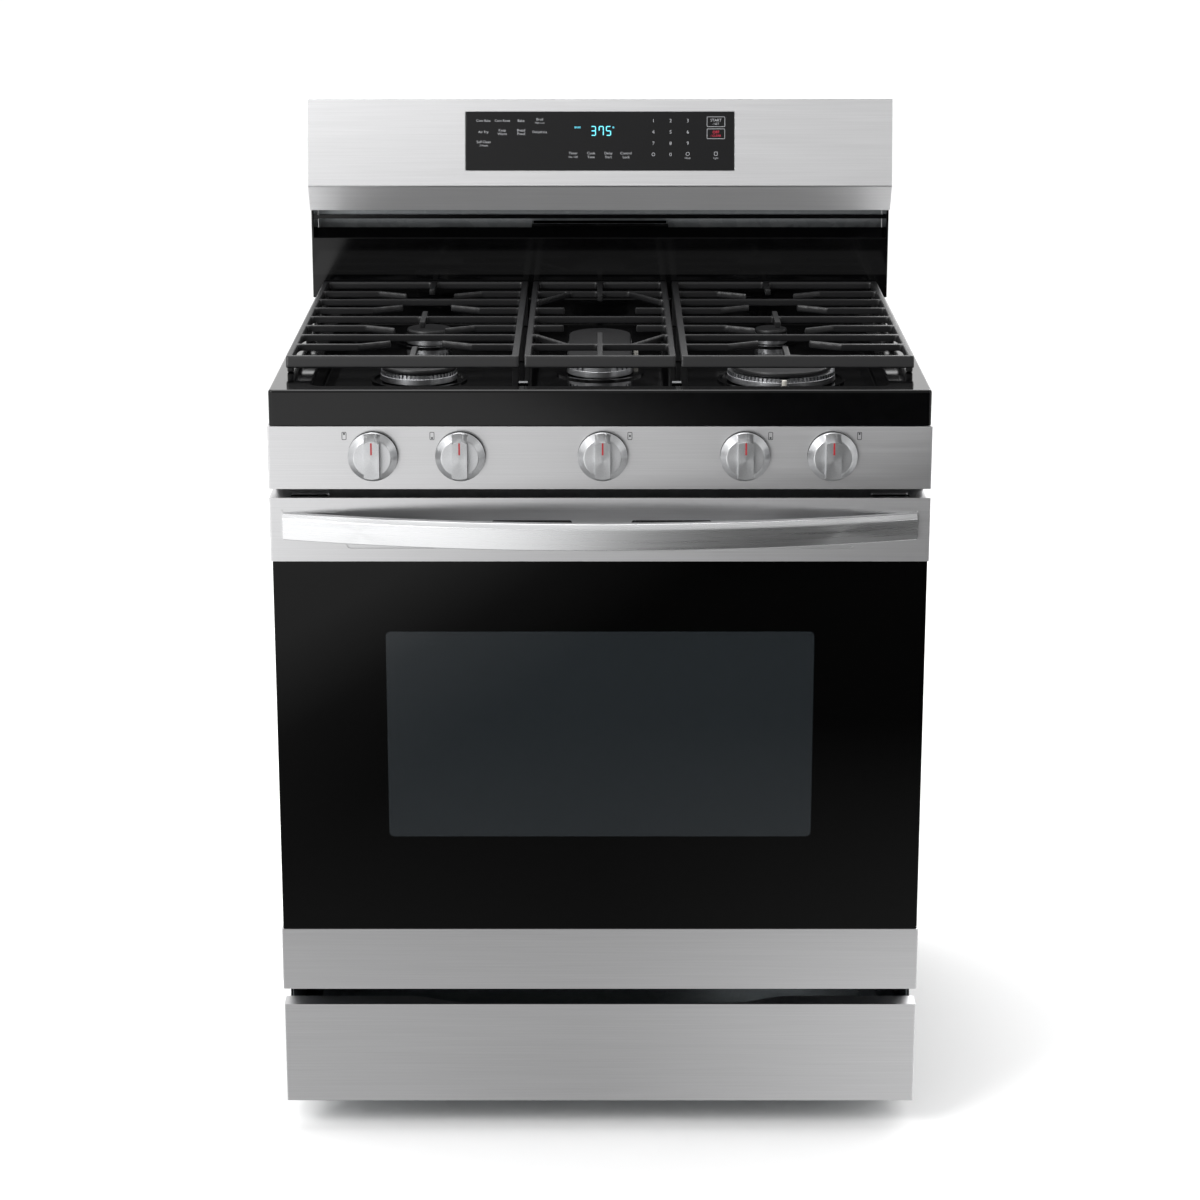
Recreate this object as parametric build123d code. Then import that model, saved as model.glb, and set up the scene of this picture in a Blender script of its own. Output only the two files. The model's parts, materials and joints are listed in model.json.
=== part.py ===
"""Freestanding gas range: five sealed burners, a drop-down oven door and a storage drawer.

Frame: millimetres, +Z up, the front faces -Y, the origin is on the floor under the middle of the
range's bounding box. Depths are measured back from the front face of the oven door.
"""

from build123d import *
import os

# Driving dimensions -----------------------------------------------------------------------------
WIDTH = 757.0  # over the stainless front panels and the cooktop
TOTAL_DEPTH = 729.0  # handle to back cover
HANDLE_REACH = 59.0  # handle's crown in front of the door face
DOOR_FACE_Y = HANDLE_REACH - TOTAL_DEPTH / 2
BACK_DEPTH = TOTAL_DEPTH - HANDLE_REACH  # door face to the rear of the back cover
SHEET = 1.0  # pressed sheet steel of the casing, liner and drawer
SKIN = 1.5  # sheet of the cooktop, console and splash panel
TRIM_WALL = 2.0  # sheet of the door trims
FIT = 0.3  # gap between neighbouring pieces that move apart
RUNNING = 0.05  # radial clearance of a pin or spindle in its bore

BASE_Z = 36.0  # underside of the chassis
DRAWER_Z = (40.0, 165.0)
DOOR_Z = (185.0, 788.5)
LOWER_TRIM_TOP = 261.3
UPPER_TRIM_BOTTOM = 713.5
CONTROL_Z = (799.0, 872.0)
COOKTOP_Z = (873.0, 914.0)
PAN_Z = 880.0  # floor of the recessed pan
GRATE_TOP = 936.0
VENT_Z = (1003.0, 1031.0)
LIP_Z = 1065.0  # crease between the console's face and its lower band
TOP_Z = 1178.0

BODY_HALF = 375.0
BODY_FRONT = 50.0  # depth of the front frame's face
CAVITY_HALF = 308.0
CAVITY_Z = (216.0, 758.0)
CAVITY_BACK = 552.0
PIVOT_DEPTH = 30.0  # oven door's hinge line
PIVOT_Z = 206.0
RACK_LEVELS = (415.0, 523.0)

BURNER_X = 218.0
BURNER_FRONT = 226.0
BURNER_MIDDLE = 342.0
BURNER_REAR = 458.0
KNOB_OFFSETS = (-261.5, -162.0, 0.0, 162.0, 261.5)
KNOB_CENTRE_X = 3.0
KNOB_Z = 838.0
KNOB_R = 28.5
POSITIONS = ("front_left", "rear_left", "centre", "rear_right", "front_right")
HEAD_R = {"front_left": 46.0, "rear_left": 29.0, "rear_right": 21.0, "front_right": 65.0}
OVAL_HALF_WIDTH = 40.0
OVAL_LENGTH = 232.0
HEAD_SHELF = 881.5
HEAD_TOP = 894.0
CAP_Z = (HEAD_TOP + FIT, 900.5)

FOOT_X, FOOT_DEPTHS = 340.0, (110.0, 620.0)
STUD_R = 5.0
STUD_TOP = 50.0
PIN_R = 4.0  # door hinge pin
FAN_Z = 487.0
FAN_SHAFT_R = 5.0
LAMP_X, LAMP_Z = -225.0, 690.0
LAMP_R = 20.0

SPINDLE_R = 4.0
KNOB_BACK, KNOB_FRONT = -5.0, -28.5
KNOB_FACE_R = 21.4
KNOB_SKIRT = 9.0
GRIP_HALF_WIDTH = 8.75
GAS_X, GAS_DEPTH, GAS_Z = 240.0, 600.0, 112.0
PIPE_R = 6.0
GAS_BORE_R, GAS_BORE_LENGTH = 9.3, 18.0  # half-inch pipe thread

PAN_HALF = 330.0
PAN_DEPTH = (26.0, 598.0)
GRATE_DEPTH = (90.0, 594.0)
SIDE_GRATE_X = (94.0, 364.0)
CENTRE_GRATE_HALF = 88.0
BAR, BAR_DROP, BAR_PITCH = 7.0, 8.0, 60.0
RAIL, RAIL_DROP = 8.0, 10.0

DISPLAY_HALF = 174.0
DISPLAY_SPAN = (20.5, 95.5)  # along the console's face, up from the crease
CREASE_DEPTH = 570.0
FACE_RUN = 22.0  # how far the console's face leans back
FACE_RISE = TOP_Z - 3 - LIP_Z

GLASS_FACE = 1.0
VENT_SLOTS = ((-213.5, 20.5), (-78, 46), (82, 46), (217, 21))  # centre x, half length
HANDLE_HALF = 363.0
HANDLE_Z = (741.0, 771.0)
HANDLE_MIDDLE = sum(HANDLE_Z) / 2
HANDLE_END = -7.0  # depth of the bar's face at its ends
HANDLE_THICK = 13.0
HANDLE_STUD_X, HANDLE_STUD_R = 354.0, 3.0


# Helpers ----------------------------------------------------------------------------------------
def block(x, depth, z):
    """A box between two X values, two depths and two heights."""
    size = (x[1] - x[0], depth[1] - depth[0], z[1] - z[0])
    middle = ((x[0] + x[1]) / 2, DOOR_FACE_Y + (depth[0] + depth[1]) / 2, (z[0] + z[1]) / 2)
    return Pos(*middle) * Box(*size)


def rounded_block(x, depth, z, radius, axis=Axis.Y):
    """A box whose four edges along one axis are rounded."""
    body = block(x, depth, z)
    return fillet(body.edges().filter_by(axis), radius)


def side_profile(points, x):
    """A (depth, z) outline extruded between two X values."""
    outline = [(DOOR_FACE_Y + d, z) for d, z in points]
    face = make_face(Polyline(*outline, close=True))
    return extrude(Plane.YZ.offset(x[0]) * face, x[1] - x[0])


def plan_profile(points, z):
    """An (x, depth) outline extruded between two heights."""
    outline = [(px, DOOR_FACE_Y + d) for px, d in points]
    face = make_face(Polyline(*outline, close=True))
    return extrude(Plane.XY.offset(z[0]) * face, z[1] - z[0])


def rod_y(x, z, radius, depth):
    """A round rod that runs front to back."""
    length = depth[1] - depth[0]
    middle = DOOR_FACE_Y + (depth[0] + depth[1]) / 2
    return Pos(x, middle, z) * Rot(X=90) * Cylinder(radius, length)


def rod_x(depth, z, radius, x):
    """A round rod that runs left to right."""
    return Pos((x[0] + x[1]) / 2, DOOR_FACE_Y + depth, z) * Rot(Y=90) * Cylinder(radius, x[1] - x[0])


def rod_z(x, depth, radius, z):
    """A round upright rod."""
    return Pos(x, DOOR_FACE_Y + depth, (z[0] + z[1]) / 2) * Cylinder(radius, z[1] - z[0])


def slot_z(half_width, length, z):
    """An upright prism with a stadium outline, long along Y, on the centre line of the range."""
    outline = SlotOverall(length, 2 * half_width, rotation=90)
    return extrude(Plane.XY.offset(z[0]) * Pos(0, DOOR_FACE_Y + BURNER_MIDDLE) * outline, z[1] - z[0])


def burner_places():
    """Each round burner's name, x and depth."""
    for name in HEAD_R:
        row, side = name.split("_")
        yield name, BURNER_X * (-1 if side == "left" else 1), BURNER_FRONT if row == "front" else BURNER_REAR


# Chassis and casing -----------------------------------------------------------------------------
def base_frame():
    """Tunnel that carries the cavity and houses the drawer, with bosses for the feet."""
    half, top = 373.0, 178.0
    outer = block((-half, half), (56, 662), (BASE_Z, top))
    tunnel = block((-half + SHEET, half - SHEET), (50, 670), (BASE_Z + SHEET, top - SHEET))
    body = outer - tunnel - block((-300, 300), (130, 580), (BASE_Z - 1, BASE_Z + 10))
    body -= rod_z(GAS_X, GAS_DEPTH, PIPE_R + 2, (top - 5, top + 5))
    for x, depth in foot_places():
        body += rod_z(x, depth, 11, (BASE_Z, STUD_TOP))
        body -= rod_z(x, depth, STUD_R, (BASE_Z - 1, STUD_TOP + 1))
    return body


def foot_places():
    return [(x, depth) for depth in FOOT_DEPTHS for x in (-FOOT_X, FOOT_X)]


def levelling_foot(x, depth):
    """Plastic pad on a threaded stud."""
    pad = rod_z(x, depth, 17, (0, 9))
    pad = fillet(pad.edges().group_by(Axis.Z)[-1], 2)
    return pad + rod_z(x, depth, STUD_R - RUNNING, (9, STUD_TOP))


def side_panel(side):
    x = sorted((side * (BODY_HALF - SHEET), side * BODY_HALF))
    return block(x, (BODY_FRONT + 2, 666), (BASE_Z, COOKTOP_Z[0] - FIT))


def rear_panel():
    """Back cover, with a bottom cut-out for the gas connection and ventilation slots."""
    cover = block((-BODY_HALF, BODY_HALF), (BACK_DEPTH - SHEET, BACK_DEPTH), (60, TOP_Z - 3))
    cover -= block((170, 310), (660, 680), (50, 170))
    for row in range(5):
        z = 250 + 26 * row
        cover -= rounded_block((-60, 60), (660, 680), (z, z + 8), 3.9)
    return cover


# Oven -------------------------------------------------------------------------------------------
def oven_cavity():
    """Enamelled liner with its front frame, floor opening, fan and flue holes and hinge ears."""
    inside = ((-CAVITY_HALF, CAVITY_HALF), (40, CAVITY_BACK), CAVITY_Z)
    wall = ((-CAVITY_HALF - SHEET, CAVITY_HALF + SHEET), (BODY_FRONT, CAVITY_BACK + SHEET))
    liner = rounded_block(*wall, (CAVITY_Z[0] - SHEET, CAVITY_Z[1] + SHEET), 20 + SHEET)
    liner += block((-373, 373), (BODY_FRONT, BODY_FRONT + SHEET), (199, 796))
    liner += block((-373, 373), (BODY_FRONT, 56), (199, 199 + SHEET))
    liner += block((-373, 373), (56 - SHEET, 56), (179, 199 + SHEET))
    liner -= rounded_block(*inside, 20)
    liner -= block((-240, 240), (130, 480), (200, 230))
    liner -= rod_y(0, FAN_Z, 9, (540, 560))
    liner -= block((-90, 90), (500, 530), (750, 770))
    liner -= rod_y(LAMP_X, LAMP_Z, LAMP_R + FIT, (540, 560))
    for side in (-1, 1):
        x = sorted((side * 328, side * 336))
        ear = block(x, (PIVOT_DEPTH, BODY_FRONT), (PIVOT_Z - 6, PIVOT_Z + 6))
        ear += rod_x(PIVOT_DEPTH, PIVOT_Z, 6, x)
        pin = rod_x(PIVOT_DEPTH, PIVOT_Z, PIN_R, sorted((side * 320, side * 344)))
        liner += ear + pin
    return liner


def insulation():
    """Mineral-wool blanket wrapped round the liner."""
    gap = 0.5
    thick = 24.0
    half = CAVITY_HALF + SHEET + gap
    back = CAVITY_BACK + SHEET + gap
    low, high = CAVITY_Z[0] - SHEET - gap, CAVITY_Z[1] + SHEET + gap
    blanket = block((-half - thick, half + thick), (54, back + thick), (low, high + thick))
    blanket -= block((-half, half), (40, back), (low - 10, high))
    blanket -= rod_y(0, FAN_Z, 45, (540, 600))
    blanket -= rod_y(LAMP_X, LAMP_Z, LAMP_R + 4, (540, 600))
    return blanket - block((-95, 95), (495, 535), (high - 5, high + thick + 5))


def rack_support(side):
    """Wire ladder on one wall of the oven; its rungs carry the racks."""
    wire = 4.0
    face = CAVITY_HALF - 2
    x = sorted((side * (face - 2 * wire), side * (face - wire)))
    post_x = sorted((side * (face - wire), side * face))
    ladder = None
    for depth in (95, 295, 505):
        post = block(post_x, (depth, depth + wire), (330, 640))
        ladder = post if ladder is None else ladder + post
    for level in range(6):
        z = RACK_LEVELS[0] - 54 + 54 * level
        ladder += block(x, (80, 514), (z - wire - 3 - FIT, z - 3 - FIT))
    return ladder


def oven_floor():
    """Lift-out enamelled cover over the bake burner, with heat slots along its sides."""
    plate = block((-270, 270), (100, 500), (CAVITY_Z[0], CAVITY_Z[0] + SHEET))
    for side in (-1, 1):
        for n in range(6):
            depth = 130 + 60 * n
            x = sorted((side * 245, side * 255))
            plate -= block(x, (depth, depth + 40), (210, 220))
    return plate


def bake_burner():
    """U-shaped tube burner under the oven floor."""
    arms = [rod_y(x, 197, 9, (150, 520)) for x in (-150, 150)]
    return arms[0] + arms[1] + rod_x(150, 197, 9, (-150, 150))


def broil_burner():
    """Flat burner and its flame spreader under the oven roof."""
    spreader = block((-110, 110), (150, 440), (728, 730))
    body = block((-35, 35), (110, 470), (734, 752))
    rib = block((-4, 4), (200, 400), (730, 734))
    return body + spreader + rib


def fan_cover():
    """Shallow pressed baffle over the convection fan, with a ring of slots."""
    half = 135.0
    z = (FAN_Z - half, FAN_Z + half)
    pan = rounded_block((-half, half), (516, CAVITY_BACK), z, 30)
    pan -= rounded_block((-half + SHEET, half - SHEET), (517.5, 560), (z[0] + SHEET, z[1] - SHEET), 28.5)
    for n in range(-4, 5):
        reach = 60 - 8 * abs(n)
        pan -= block((-reach, reach), (510, 520), (FAN_Z + 14 * n - 3, FAN_Z + 14 * n + 3))
    return pan


def convection_fan():
    """Hub, shaft and six straight blades."""
    fan = rod_y(0, FAN_Z, 16, (524, 546)) + rod_y(0, FAN_Z, FAN_SHAFT_R, (546, 598))
    blade = block((-2, 2), (526, 544), (FAN_Z + 12, FAN_Z + 85))
    centre = (0, 0, FAN_Z)
    for n in range(6):
        fan += Pos(*centre) * Rot(Y=60 * n) * Pos(0, 0, -FAN_Z) * blade
    return fan


def fan_motor():
    """Motor can on its mounting plate behind the liner."""
    can = rod_y(0, FAN_Z, 40, (584, 640)) + block((-60, 60), (580, 584), (FAN_Z - 30, FAN_Z + 30))
    return can - rod_y(0, FAN_Z, FAN_SHAFT_R + RUNNING, (570, 600))


def oven_lamp():
    """Screw-in glass cover on its lamp holder."""
    lens = rod_y(LAMP_X, LAMP_Z, LAMP_R, (536, 556))
    lens = fillet(lens.edges().group_by(Axis.Y)[0], 7)
    return lens + rod_y(LAMP_X, LAMP_Z, LAMP_R - 6, (556, 600))


def flue_duct():
    """Sheet duct from the oven roof to the vent behind the cooktop, with its louvre bar."""
    duct = block((-90, 90), (632, 660), (790, VENT_Z[0] + 4))
    duct -= block((-88, 88), (634, 658), (780, 1020))
    throat = block((-90, 90), (500, 632), (790, 812)) - block((-88, 88), (502, 640), (792, 810))
    throat += block((-90, 90), (500, 530), (762, 792)) - block((-88, 88), (502, 528), (760, 795))
    duct -= block((-88, 88), (630, 636), (792, 810))
    duct += throat
    louvre = block((-BODY_HALF, BODY_HALF), (603, 612), (1018, 1023))
    return [duct, louvre]


# Gas system -------------------------------------------------------------------------------------
def knob_places():
    return [(KNOB_CENTRE_X + offset, name) for offset, name in zip(KNOB_OFFSETS, POSITIONS)]


def gas_manifold():
    """Supply pipe and the five tap bodies that stand on it."""
    pipe = rod_x(88, KNOB_Z, 10, (-330, 340)) + rod_y(GAS_X, KNOB_Z, PIPE_R, (88, GAS_DEPTH))
    pipe += Pos(GAS_X, DOOR_FACE_Y + GAS_DEPTH, KNOB_Z) * Sphere(PIPE_R)
    pipe += rod_z(GAS_X, GAS_DEPTH, PIPE_R, (150, KNOB_Z))
    pieces = [pipe]
    for x, _ in knob_places():
        tap = block((x - 12, x + 12), (44, 78), (KNOB_Z - 14, KNOB_Z + 14)) + rod_y(x, KNOB_Z, 9, (34, 44))
        tap -= rod_y(x, KNOB_Z, SPINDLE_R + RUNNING, (30, 72))
        pieces.append(tap)
    return pieces


def tap_spindle(x):
    """Sprung spindle of one tap: it slides in when the knob is pushed."""
    return rod_y(x, KNOB_Z, SPINDLE_R, (-19, 66))


def knob(x):
    """Round knob: bevelled skirt, flat face and a full-width finger grip."""
    middle = Pos(x, DOOR_FACE_Y, KNOB_Z) * Rot(X=90)
    skirt = middle * Pos(0, 0, -KNOB_BACK + KNOB_SKIRT / 2) * Cone(KNOB_R, KNOB_FACE_R, KNOB_SKIRT)
    tall = KNOB_BACK - KNOB_FRONT
    cone = middle * Pos(0, 0, -KNOB_BACK + tall / 2) * Cone(KNOB_R, KNOB_FACE_R, tall)
    slab = (x - GRIP_HALF_WIDTH, x + GRIP_HALF_WIDTH)
    grip = cone & block(slab, (KNOB_FRONT - 1, KNOB_BACK + 1), (KNOB_Z - 40, KNOB_Z + 40))
    body = skirt + grip
    return body - rod_y(x, KNOB_Z, SPINDLE_R + RUNNING, (-19.5, 0))


def knob_bezels():
    """Flat rings between each knob and the panel."""
    return [
        rod_y(x, KNOB_Z, KNOB_R, (-1.5, 0)) - rod_y(x, KNOB_Z, 8, (-3, 3)) for x, _ in knob_places()
    ]


def gas_regulator():
    """Pressure regulator at the back, with its threaded inlet facing the wall."""
    body = rod_z(GAS_X, GAS_DEPTH, 24, (95, 130)) + rod_z(GAS_X, GAS_DEPTH, 10, (130, 150))
    body += rod_y(GAS_X, GAS_Z, 15, (GAS_DEPTH, 655))
    body += block((GAS_X - 20, GAS_X + 20), (590, 610), (93, 95))
    body += block((GAS_X - 20, GAS_X + 20), (608, 610), (BASE_Z + SHEET, 95))
    return body - rod_y(GAS_X, GAS_Z, GAS_BORE_R, (655 - GAS_BORE_LENGTH, 660))


def burner_head(name):
    """Aluminium flame ring under one cap."""
    if name == "centre":
        oval = slot_z(OVAL_HALF_WIDTH, OVAL_LENGTH, (HEAD_SHELF, HEAD_TOP))
        oval += slot_z(OVAL_HALF_WIDTH - 7, OVAL_LENGTH - 14, (864, HEAD_SHELF))
        return oval - slot_z(14, 120, (860, 900))
    place = {n: (x, depth) for n, x, depth in burner_places()}[name]
    radius = HEAD_R[name]
    head = rod_z(*place, radius, (HEAD_SHELF, HEAD_TOP)) + rod_z(*place, 0.84 * radius, (864, HEAD_SHELF))
    return head - rod_z(*place, 0.45 * radius, (860, 900))


def burner_cap(name):
    """Cast-iron cap with a softly rounded rim and a spigot that drops into the head's bore."""
    if name == "centre":
        cap = slot_z(OVAL_HALF_WIDTH - 1, OVAL_LENGTH - 2, CAP_Z)
        spigot = slot_z(12, 116, (888, CAP_Z[0]))
    else:
        place = {n: (x, depth) for n, x, depth in burner_places()}[name]
        radius = HEAD_R[name]
        cap = rod_z(*place, radius * (0.93 if radius > 60 else 0.97), CAP_Z)
        spigot = rod_z(*place, 0.4 * radius, (888, CAP_Z[0]))
    return fillet(cap.edges().group_by(Axis.Z)[-1], 2.5) + spigot


def igniters():
    """Ceramic spark electrodes beside the burner heads."""
    pins = []
    for name, x, depth in burner_places():
        front = -1 if name == "front_right" else 1
        place = depth + front * (HEAD_R[name] + 4.5)
        pins.append(rod_z(x, place, 3, (PAN_Z, 893)))
    pins.append(rod_z(OVAL_HALF_WIDTH + 4.5, BURNER_MIDDLE, 3, (PAN_Z, 893)))
    return pins


# Cooktop, grates and backguard ------------------------------------------------------------------
def cooktop():
    """Pressed enamel cooktop: outer skirt, flat ledges and a recessed pan with burner holes."""
    skin = SKIN
    half = WIDTH / 2 - 2
    outer = rounded_block((-half, half), (0, 660), COOKTOP_Z, 5, Axis.Z)
    outer = fillet(outer.edges().group_by(Axis.Z)[-1], 3)
    pan = rounded_block((-PAN_HALF, PAN_HALF), PAN_DEPTH, (PAN_Z, 930), 14, Axis.Z)
    walls = ((-PAN_HALF - skin, PAN_HALF + skin), (PAN_DEPTH[0] - skin, PAN_DEPTH[1] + skin))
    pan_outside = block(*walls, (PAN_Z - skin, 930))
    hollow = block((-half + skin, half - skin), (skin, 660 - skin), (860, COOKTOP_Z[1] - skin)) - pan_outside
    body = outer - pan - hollow - block((-93, 93), (631, 670), (860, 930))
    for name, x, depth in burner_places():
        boss = HEAD_R[name] + 12
        body += rod_z(x, depth, boss, (PAN_Z, PAN_Z + 2)) - rod_z(x, depth, HEAD_R[name] + 8, (PAN_Z, 900))
        body -= rod_z(x, depth, 0.84 * HEAD_R[name] + FIT, (860, 900))
    body += slot_z(OVAL_HALF_WIDTH + 13, OVAL_LENGTH + 26, (PAN_Z, PAN_Z + 2))
    body -= slot_z(OVAL_HALF_WIDTH + 9, OVAL_LENGTH + 18, (PAN_Z, 900))
    body -= slot_z(OVAL_HALF_WIDTH - 7 + FIT, OVAL_LENGTH - 14 + 2 * FIT, (860, 900))
    for x in (-88.5, 88.5):
        body += block((x - 6, x + 6), (60, 70), (PAN_Z, 910))
    return body


def bar_x(x, depth):
    """Grate bar that runs left to right."""
    return block(sorted(x), (depth - BAR / 2, depth + BAR / 2), (GRATE_TOP - BAR_DROP, GRATE_TOP))


def bar_y(x, depth):
    """Grate bar or stub that runs front to back."""
    return block((x - BAR / 2, x + BAR / 2), depth, (GRATE_TOP - BAR_DROP, GRATE_TOP))


def slanted_bar(start, end):
    """Grate bar between two (x, depth) points, with ends cut square to the range."""
    half = BAR / 2
    near = [(start[0], start[1] - half), (end[0], end[1] - half)]
    far = [(end[0], end[1] + half), (start[0], start[1] + half)]
    return plan_profile(near + far, (GRATE_TOP - BAR_DROP, GRATE_TOP))


def grate_frame(x):
    """Rails round one grate: sloped front rail, rear rail and two side rails."""
    front, rear = GRATE_DEPTH
    nose = [(front + 4, GRATE_TOP), (front - 1, GRATE_TOP), (front - 5, 922), (front + 4, 922)]
    frame = side_profile(nose, x)
    frame += block(x, (rear - RAIL / 2, rear + RAIL / 2), (GRATE_TOP - RAIL_DROP, GRATE_TOP))
    for edge in ((x[0], x[0] + RAIL), (x[1] - RAIL, x[1])):
        frame += block(edge, (front, rear), (GRATE_TOP - RAIL_DROP, GRATE_TOP))
    return frame


def grate_legs(places, foot_z):
    """Legs that stand a grate on the cooktop."""
    legs = None
    for x, depth in places:
        leg = block((x - 4, x + 4), (depth - 5, depth + 5), (foot_z, GRATE_TOP - RAIL_DROP + 1))
        legs = leg if legs is None else legs + leg
    return legs


def side_grate(side):
    """Grate over the two burners of one side, with bent fingers that close in on each burner."""
    inner, outer = side * SIDE_GRATE_X[0], side * SIDE_GRATE_X[1]
    grate = grate_frame(sorted((inner, outer)))
    centre = side * BURNER_X
    finger_tip, finger_knee, shift = 30.0, 66.0, 20.0
    for step in (-2, 0, 2):
        grate += bar_x((inner, outer), BURNER_MIDDLE + BAR_PITCH * step)
    for step in (-3, -1, 1, 3):
        depth = BURNER_MIDDLE + BAR_PITCH * step
        burner = BURNER_MIDDLE + BAR_PITCH * (2 if step > 0 else -2)
        bend = shift if burner > depth else -shift
        for edge, way in ((inner, -side), (outer, side)):
            knee = centre + way * finger_knee
            tip = centre + way * finger_tip
            grate += bar_x((edge, knee), depth) + slanted_bar((knee, depth), (tip, depth + bend))
    for stub in ((GRATE_DEPTH[0], 148), (304, 380), (536, GRATE_DEPTH[1])):
        grate += bar_y(centre, stub)
    corners = (105, 342, 579)
    grate += grate_legs([(inner + side * 4, depth) for depth in corners], PAN_Z)
    return grate + grate_legs([(outer - side * 4, depth) for depth in corners], COOKTOP_Z[1])


def grate_centre():
    """Grate over the oval burner, with an arch of slanted bars round each end of it."""
    half = CENTRE_GRATE_HALF
    grate = grate_frame((-half, half))
    for step in (-3, 0, 3):
        grate += bar_x((-half, half), BURNER_MIDDLE + BAR_PITCH * step)
    for side in (-1, 1):
        for step in (-1, 1):
            near = BURNER_MIDDLE + BAR_PITCH * step
            arch = BURNER_MIDDLE + 2 * BAR_PITCH * step
            grate += bar_x((side * half, side * 44), near) + bar_x((side * half, side * 75), arch)
            grate += slanted_bar((side * 75, arch), (side * 37, arch + BAR_PITCH * step))
    grate += bar_y(0, (GRATE_DEPTH[0], 237)) + bar_y(0, (490, GRATE_DEPTH[1]))
    places = [(side * (half - 4), depth) for side in (-1, 1) for depth in (105, 579)]
    return grate + grate_legs(places, PAN_Z)


def backguard():
    """Enamelled splash panel with a sloped ledge in front of the vent, and its side columns."""
    half = WIDTH / 2 - 0.5
    z = COOKTOP_Z[1]
    outer = [(601, z), (601, 993), (628, VENT_Z[0]), (628, z)]
    inner = [(601 + SKIN, z - 5), (601 + SKIN, 992), (628 - SKIN, 1001), (628 - SKIN, z - 5)]
    body = side_profile(outer, (-half, half)) - side_profile(inner, (-half + SKIN, half - SKIN))
    for side in (-1, 1):
        body += block(sorted((side * half, side * (half - 3))), (601, 667), (z, VENT_Z[1] - FIT))
    return body


def console_section(skin):
    """The console's (depth, z) outline, drawn in by the sheet's thickness and open at the back."""
    low, back = VENT_Z[1] + skin, 667 + (15 if skin else 0)
    front = CREASE_DEPTH + 1.3 * skin
    face_top = (CREASE_DEPTH + FACE_RUN + skin, TOP_Z - 3 - skin / 2)
    return [(590 + skin, low), (front, LIP_Z), face_top, (597, TOP_Z - skin), (back, TOP_Z - skin), (back, low)]


def face_point(along, out):
    """A (depth, z) point on the console's sloping face, `along` up it and `out` in front of it."""
    length = (FACE_RISE**2 + FACE_RUN**2) ** 0.5
    up, back = FACE_RISE / length, FACE_RUN / length
    return CREASE_DEPTH + along * back - out * up, LIP_Z + along * up + out * back


def display_prism(margin, front, back):
    low, high = DISPLAY_SPAN[0] - margin, DISPLAY_SPAN[1] + margin
    outline = [face_point(low, front), face_point(high, front), face_point(high, back), face_point(low, back)]
    return side_profile(outline, (-DISPLAY_HALF - margin, DISPLAY_HALF + margin))


def console_housing():
    """Stainless control console, open at the back, with a window for the touch panel."""
    half = WIDTH / 2
    body = side_profile(console_section(0), (-half, half))
    body -= side_profile(console_section(SKIN), (-half + SKIN, half - SKIN))
    return body - display_prism(FIT, 5, -8)


def control_panel():
    """Stainless knob panel, open at the back, with a hole for each spindle."""
    half = WIDTH / 2
    panel = rounded_block((-half, half), (0, BODY_FRONT + 1), CONTROL_Z, 2, Axis.Z)
    inside_z = (CONTROL_Z[0] + SHEET, CONTROL_Z[1] - SHEET)
    panel -= block((-half + SHEET, half - SHEET), (SHEET, 60), inside_z)
    for x, _ in knob_places():
        panel -= rod_y(x, KNOB_Z, 7, (-5, 10))
    return panel


# Oven door --------------------------------------------------------------------------------------
def door_glass():
    """Outer pane, black all round its clear window."""
    z = (LOWER_TRIM_TOP + 0.2, UPPER_TRIM_BOTTOM - 0.2)
    return rounded_block((-376.5, 376.5), (GLASS_FACE, GLASS_FACE + 4), z, 1.5)


def trim_shell(z, depth):
    """Stainless trim open at the back."""
    half = WIDTH / 2
    wall = TRIM_WALL
    shell = rounded_block((-half, half), (0, depth), z, 2, Axis.Z)
    return shell - block((-half + wall, half - wall), (wall, depth + 5), (z[0] + wall, z[1] - wall))


def door_top_trim():
    """Upper trim behind the handle, with a shallow pressed field and four vent slots."""
    trim = trim_shell((UPPER_TRIM_BOTTOM, DOOR_Z[1]), 46)
    trim -= block((-372, 372), (20, 60), (710, 718))
    trim -= rounded_block((-291, 291), (-2, 1), (729, 776), 5)
    for x, reach in VENT_SLOTS:
        trim -= rounded_block((x - reach, x + reach), (-2, 6), (751, 762), 3)
    for side in (-1, 1):
        trim -= rounded_block(sorted((side * 301, side * 364)), (-2, 0.8), (771.5, 777), 2)
        trim -= rounded_block(sorted((side * 311, side * 355)), (8, 24), (780, 790), 3, Axis.Z)
        trim -= rod_y(side * HANDLE_STUD_X, HANDLE_MIDDLE, HANDLE_STUD_R + FIT, (-2, 6))
    return trim


def door_bottom_trim():
    return trim_shell((DOOR_Z[0], LOWER_TRIM_TOP), 20)


def door_inner_panel():
    """Drawn inner pan of the door, notched at the hinges, with the window opening."""
    pan = rounded_block((-365, 365), (22, 46), (200, 783), 12)
    pan -= block((-365 + SHEET, 365 - SHEET), (15, 46 - SHEET), (200 + SHEET, 783 - SHEET))
    pan -= rounded_block((-250, 250), (30, 60), (372, 635), 10)
    for side in (-1, 1):
        pan -= block(sorted((side * 312, side * 352)), (10, 60), (190, 232))
    return pan - block((-370, 370), (10, 27), (710, 790))


def door_inner_glass():
    return block((-262, 262), (38, 43), (360, 647))


def door_gasket():
    """Woven rope seal round the back of the door."""
    loop = rounded_block((-343, 343), (46, BODY_FRONT - FIT), (235, 777), 24)
    return loop - rounded_block((-334, 334), (40, 60), (244, 768), 15)


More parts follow.
